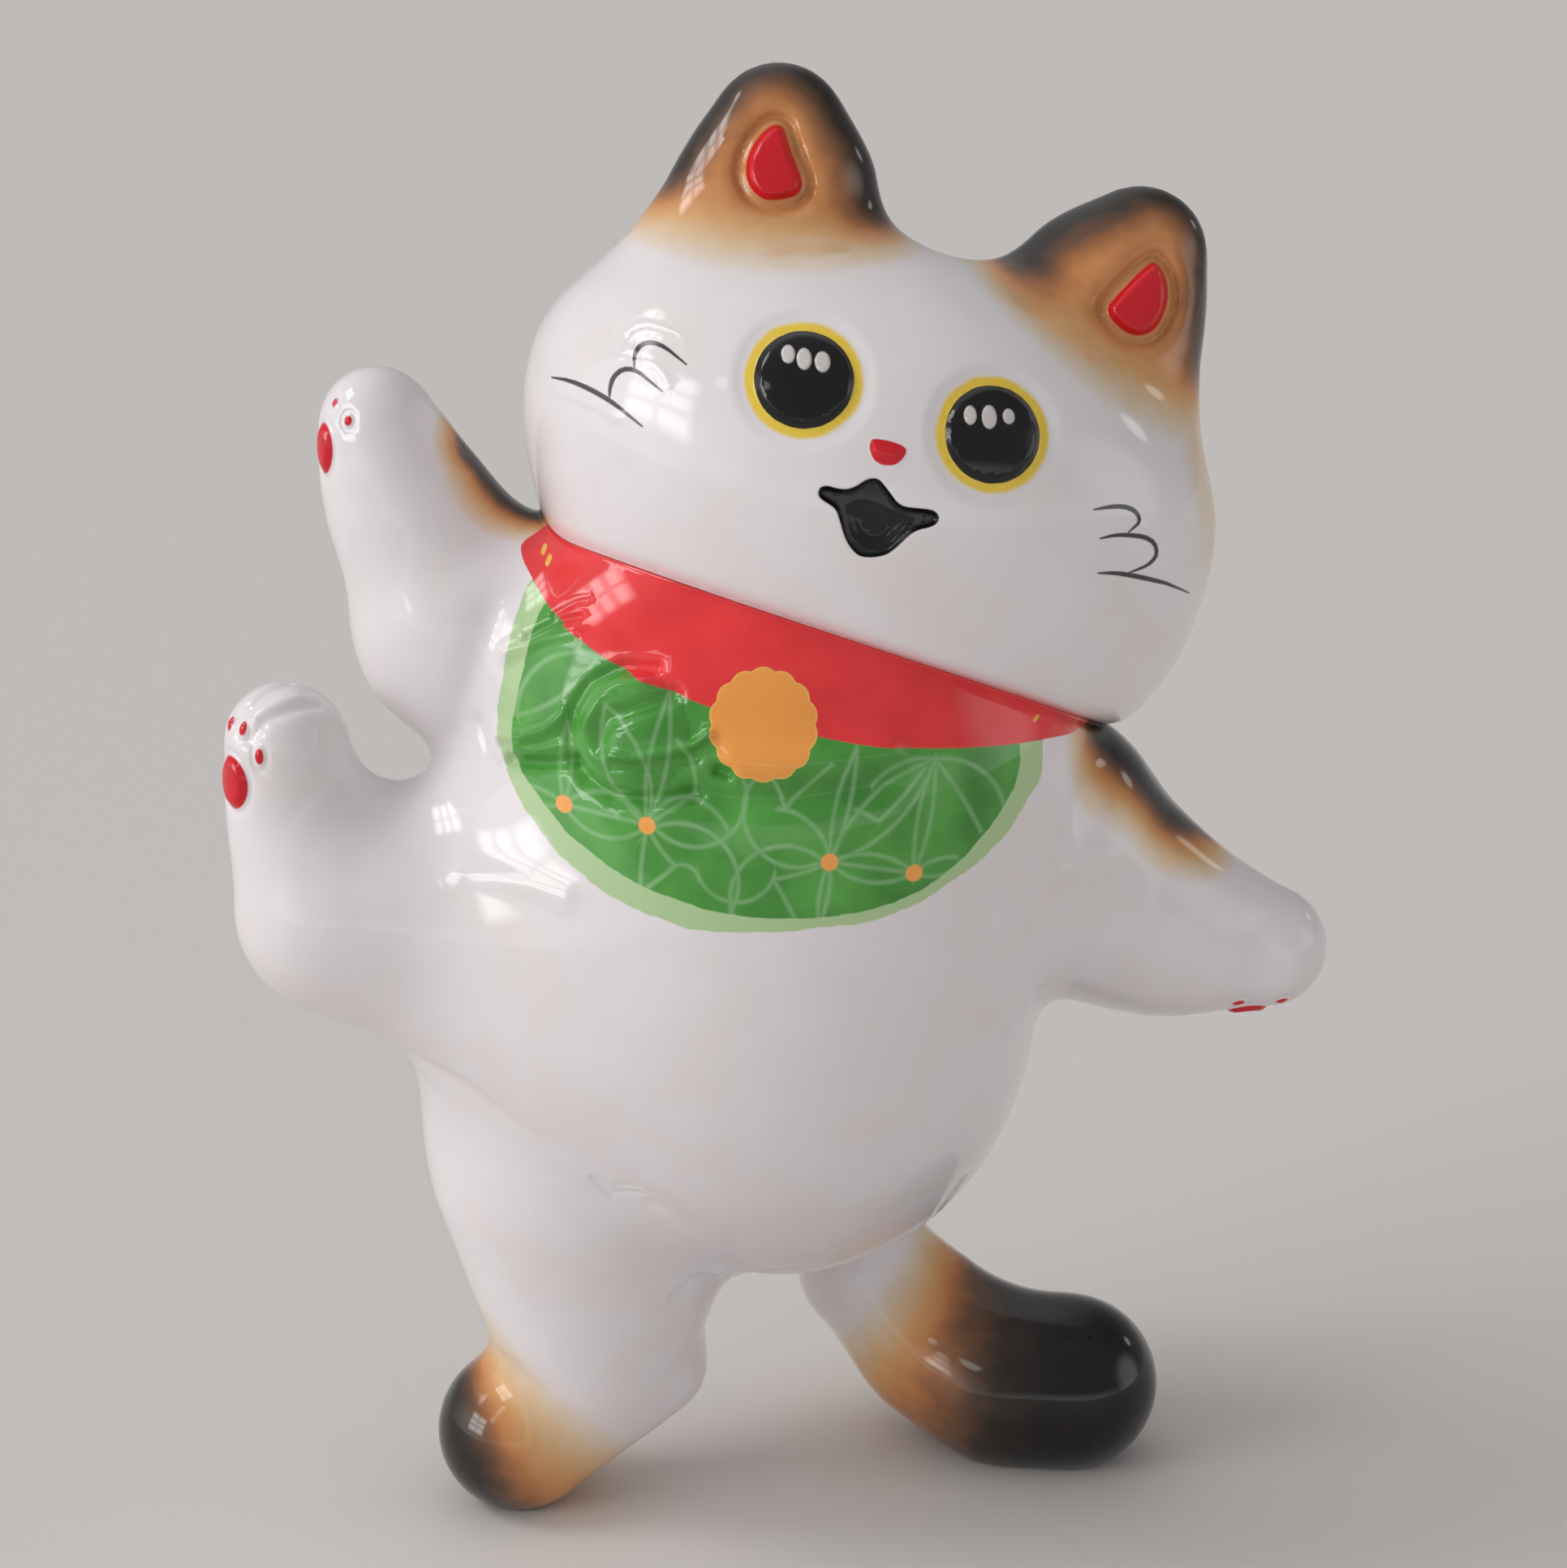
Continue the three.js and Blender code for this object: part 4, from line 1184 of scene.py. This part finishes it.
def makeBib():
    surface = Surface("glazeBib")
    paint, place = surface.paint, surface.place
    flat = paint.vector("MULTIPLY", place, (1, 0, 1))
    tone = paint.noise(place, transfer["toneNoise"])
    green = paint.mix(tone.spread(*transfer["greenSpread"]), transfer["green"], transfer["greenDark"])
    red = paint.mix(tone.spread(*transfer["redSpread"]), transfer["collar"], transfer["collarDark"])
    wander = reduce(Val.__add__, [(paint.noise(place, scale) - 0.5) * far
                                  for scale, far in transfer["wander"]])
    trimMask = (paint.attribute("trimEdge") + wander).within(0.07)
    greenMask = (paint.attribute("greenEdge") + wander * transfer["greenWander"]).within()
    collarEdge = paint.attribute("collarEdge")
    surface.cover(trimMask, transfer["trim"])
    line = least([petalEdge(paint, flat, *petal) for petal in transfer["petals"]]
                 + [curveEdge(paint, flat, *curve) for curve in transfer["curves"]])
    scale, wear, left = transfer["lineWear"]
    faded = (paint.noise(place, scale) * wear + left) * transfer["lineStrength"]
    lineMask = (line - transfer["lineWidth"]).within(transfer["lineSoft"]) * faded
    surface.cover(greenMask, paint.mix(lineMask, green, transfer["line"]))
    dots = least(paint.away(flat, *dot) for dot in bib["dots"])
    surface.cover((dots - bib["dotRadius"]).within(), transfer["bell"])
    surface.cover((collarEdge - transfer["threadWidth"]).within(0.05) * trimMask, transfer["thread"])
    surface.cover(collarEdge.within(0.05), red)
    # painted shade: a dark line in the seam under the chin, over the collar
    seam = (abs(paint.attribute("seamEdge") - transfer["seamShadeAt"]) - transfer["seamShadeHalf"]).within(0.25)
    surface.cover(seam * transfer["seamShadeStrength"] * (collarEdge - 0.4).within(0.2), transfer["seam"])
    width = transfer["markWidth"]
    marks = least(strokeEdge(paint, flat, stroke, width, width) for stroke in transfer["marks"])
    surface.cover(marks.within(), transfer["mark"])
    bx, bz = transfer["bellCentre"]
    rel = paint.vector("SUBTRACT", flat, (bx, 0, bz))
    apart = paint.add("ShaderNodeSeparateXYZ", {}, {0: rel})
    turn = Val(paint, apart.outputs["Z"]).math("ARCTAN2", apart.outputs["Z"], apart.outputs["X"])
    lobe = abs(turn.math("SINE", turn * (transfer["scallops"] / 2)))
    reach = transfer["bellRadius"] - transfer["scallop"]
    edge = paint.vector("LENGTH", rel) - lobe * transfer["scallop"] - reach
    bell = paint.mix(tone, transfer["bell"], transfer["bellDark"])
    surface.cover(edge.within(0.05), transfer["bellEdge"])
    surface.cover((edge + transfer["bellLine"]).within(0.08), bell)
    return surface.finish()


materials = [Surface("glazePlain").finish(), makeFace(), makeCheek("glazeCheekA", -1),
             makeCheek("glazeCheekB", 1), makeBib()]


regions = {
    "face": {"x": (-23.0, 20.0), "z": (-14, 14)},  # in the head's axes
    "cheeks": {"z": (-9, 7)},
    "bib": {"x": (-40, 40), "z": (84, 130)},
}


def between(value, ends):
    return (value > ends[0]) & (value < ends[1])


def assignRegions(cat):
    centres = points[triangles].mean(1)
    q = toHead(centres)
    beyondSeam = bodyDistance(centres, q) - headDistance(q)
    front = (beyondSeam > 0) & (q[:, 1] < head["faceFront"])
    middle = between(q[:, 0], regions["face"]["x"])
    region = np.zeros(len(triangles), np.int32)
    region[front & middle & between(q[:, 2], regions["face"]["z"])] = 1
    cheek = front & ~middle & between(q[:, 2], regions["cheeks"]["z"])
    region[cheek] = np.where(q[cheek, 0] < 0, 2, 3)
    onChest = between(centres[:, 0], regions["bib"]["x"]) & between(centres[:, 2], regions["bib"]["z"])
    region[(beyondSeam < 2) & inTransfer(centres) & onChest] = 4
    for material in materials:
        cat.data.materials.append(material)
    cat.data.polygons.foreach_set("material_index", region)


assignRegions(cat)
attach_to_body(cat, "root")
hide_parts("lucky_cat")
print("painted:", ", ".join(material.name for material in materials))


# The floor, the light and the camera

studio = {
    "floor": (225, 220, 216),
    "floorRoughness": 0.7,
    "floorShine": 0.1,
    "air": (0.37, 0.369, 0.373),  # light that comes from everywhere
    # soft lights around the room: direction in degrees (to the cat's front 0, to the picture's right 90)
    # and height, half width and half height, soft edge, strength and colour
    "windows": [(-63, 17, (0.21, 0.17), 0.06, 6.4, (1, 0.99, 0.98)),
                (-90, 45, (0.18, 0.15), 0.06, 7.6, (1, 0.99, 0.98))],
    "lights": [(-74, 8, (0.42, 0.24), 0.3, 1.3, (1, 0.99, 0.98)),
               (-130, 62, (0.55, 0.4), 0.4, 0.35, (0.97, 0.985, 1)),
               (10, 1, (0.8, 0.09), 0.09, 0.8, (1, 0.99, 0.985)),
               (84, 10, (0.26, 0.26), 0.2, 1.1, (0.98, 0.99, 1)),
               (118, 22, (0.06, 0.06), 0.04, 2.2, (1, 0.99, 0.97)),
               (125, 35, (0.5, 0.45), 0.5, -0.16, (1, 1, 1)),  # the room's dim side, which takes away
               (-41, 30, (0.05, 0.06), 0.04, 3, (0.98, 0.99, 1))],
    "bar": 0.012,  # half width of a window bar
    "barSoft": 0.02,
}


def makeFloor():
    half, drop = 4.0, -0.0002
    mesh = bpy.data.meshes.new("floor")
    corners = [(-half, -half, drop), (half, -half, drop), (half, half, drop), (-half, half, drop)]
    mesh.from_pydata(corners, [], [(0, 1, 2, 3)])
    floor = bpy.data.objects.new("floor", mesh)
    bpy.context.scene.collection.objects.link(floor)
    paint = Paint(bpy.data.materials.new("floorPaint"))
    shader = paint.add("ShaderNodeBsdfPrincipled", {}, {
        "Base Color": studio["floor"], "Roughness": studio["floorRoughness"],
        "Specular IOR Level": studio["floorShine"]})
    mesh.materials.append(paint.finish("ShaderNodeOutputMaterial", shader.outputs["BSDF"]))


def windowMask(paint, seen, half, soft):  # 1 on the panes, half on the bars between them
    apart = paint.add("ShaderNodeSeparateXYZ", {}, {0: seen})
    x, z = (abs(Val(paint, apart.outputs[axis])) for axis in ("X", "Z"))
    (wide, high), bar, barSoft = half, studio["bar"], studio["barSoft"]
    across, up = (((1 - place) * (size / soft) + 0.5).clamped() for place, size in ((x, wide), (z, high)))
    vertical = ((x - bar / wide) * (wide / barSoft)).clamped()
    level = ((abs(z - 1 / 3) - bar / high) * (high / barSoft)).clamped()
    ahead = (Val(paint, apart.outputs["Y"]) * -50).clamped()  # 0 on the opposite side of the room
    return across * up * (vertical * level * 0.5 + 0.5) * ahead


def ovalMask(paint, seen, half, soft):  # 1 inside, with a soft edge
    soft = soft / half[1]
    away = paint.vector("DISTANCE", seen, (0, -1, 0))
    return away.math("MULTIPLY_ADD", away, -1 / soft, 1.1 / soft + 0.5, clamp=True)


def makeLight():
    world = bpy.data.worlds.new("studio")
    paint = Paint(world)
    direction = paint.add("ShaderNodeTexCoord").outputs["Generated"]
    total = studio["air"]
    for maskOf, lights in ((windowMask, studio["windows"]), (ovalMask, studio["lights"])):
        for turn, height, half, soft, power, colour in lights:
            seen = paint.add("ShaderNodeMapping", {"vector_type": "TEXTURE"}, {
                "Vector": direction, "Scale": (half[0], 1, half[1]),
                "Rotation": (-math.radians(height), 0, math.radians(turn))}).outputs["Vector"]
            strong = tuple(part * power for part in colour)
            total = paint.vector("MULTIPLY_ADD", strong, maskOf(paint, seen, half, soft), total)
    background = paint.add("ShaderNodeBackground", {}, {"Color": total, "Strength": 1.0})
    bpy.context.scene.world = paint.finish("ShaderNodeOutputWorld", background.outputs["Background"])
    bpy.context.scene.view_settings.view_transform = "Standard"


view = {
    "at": (-0.000649, -0.39692, 0.21565),  # metres
    "down": 17.0,  # degrees below level
    "focal": 4184 / 1932,  # focal length over the picture's height
}


def makeCamera():
    camera = bpy.data.cameras.new("camera")
    camera.lens = camera.sensor_width * view["focal"]
    camera.clip_start = 0.01
    holder = bpy.data.objects.new("camera", camera)
    holder.location = view["at"]
    holder.rotation_euler = (math.radians(90 - view["down"]), 0, 0)
    bpy.context.scene.collection.objects.link(holder)
    bpy.context.scene.camera = holder


makeFloor()
makeLight()
makeCamera()
print("studio made")
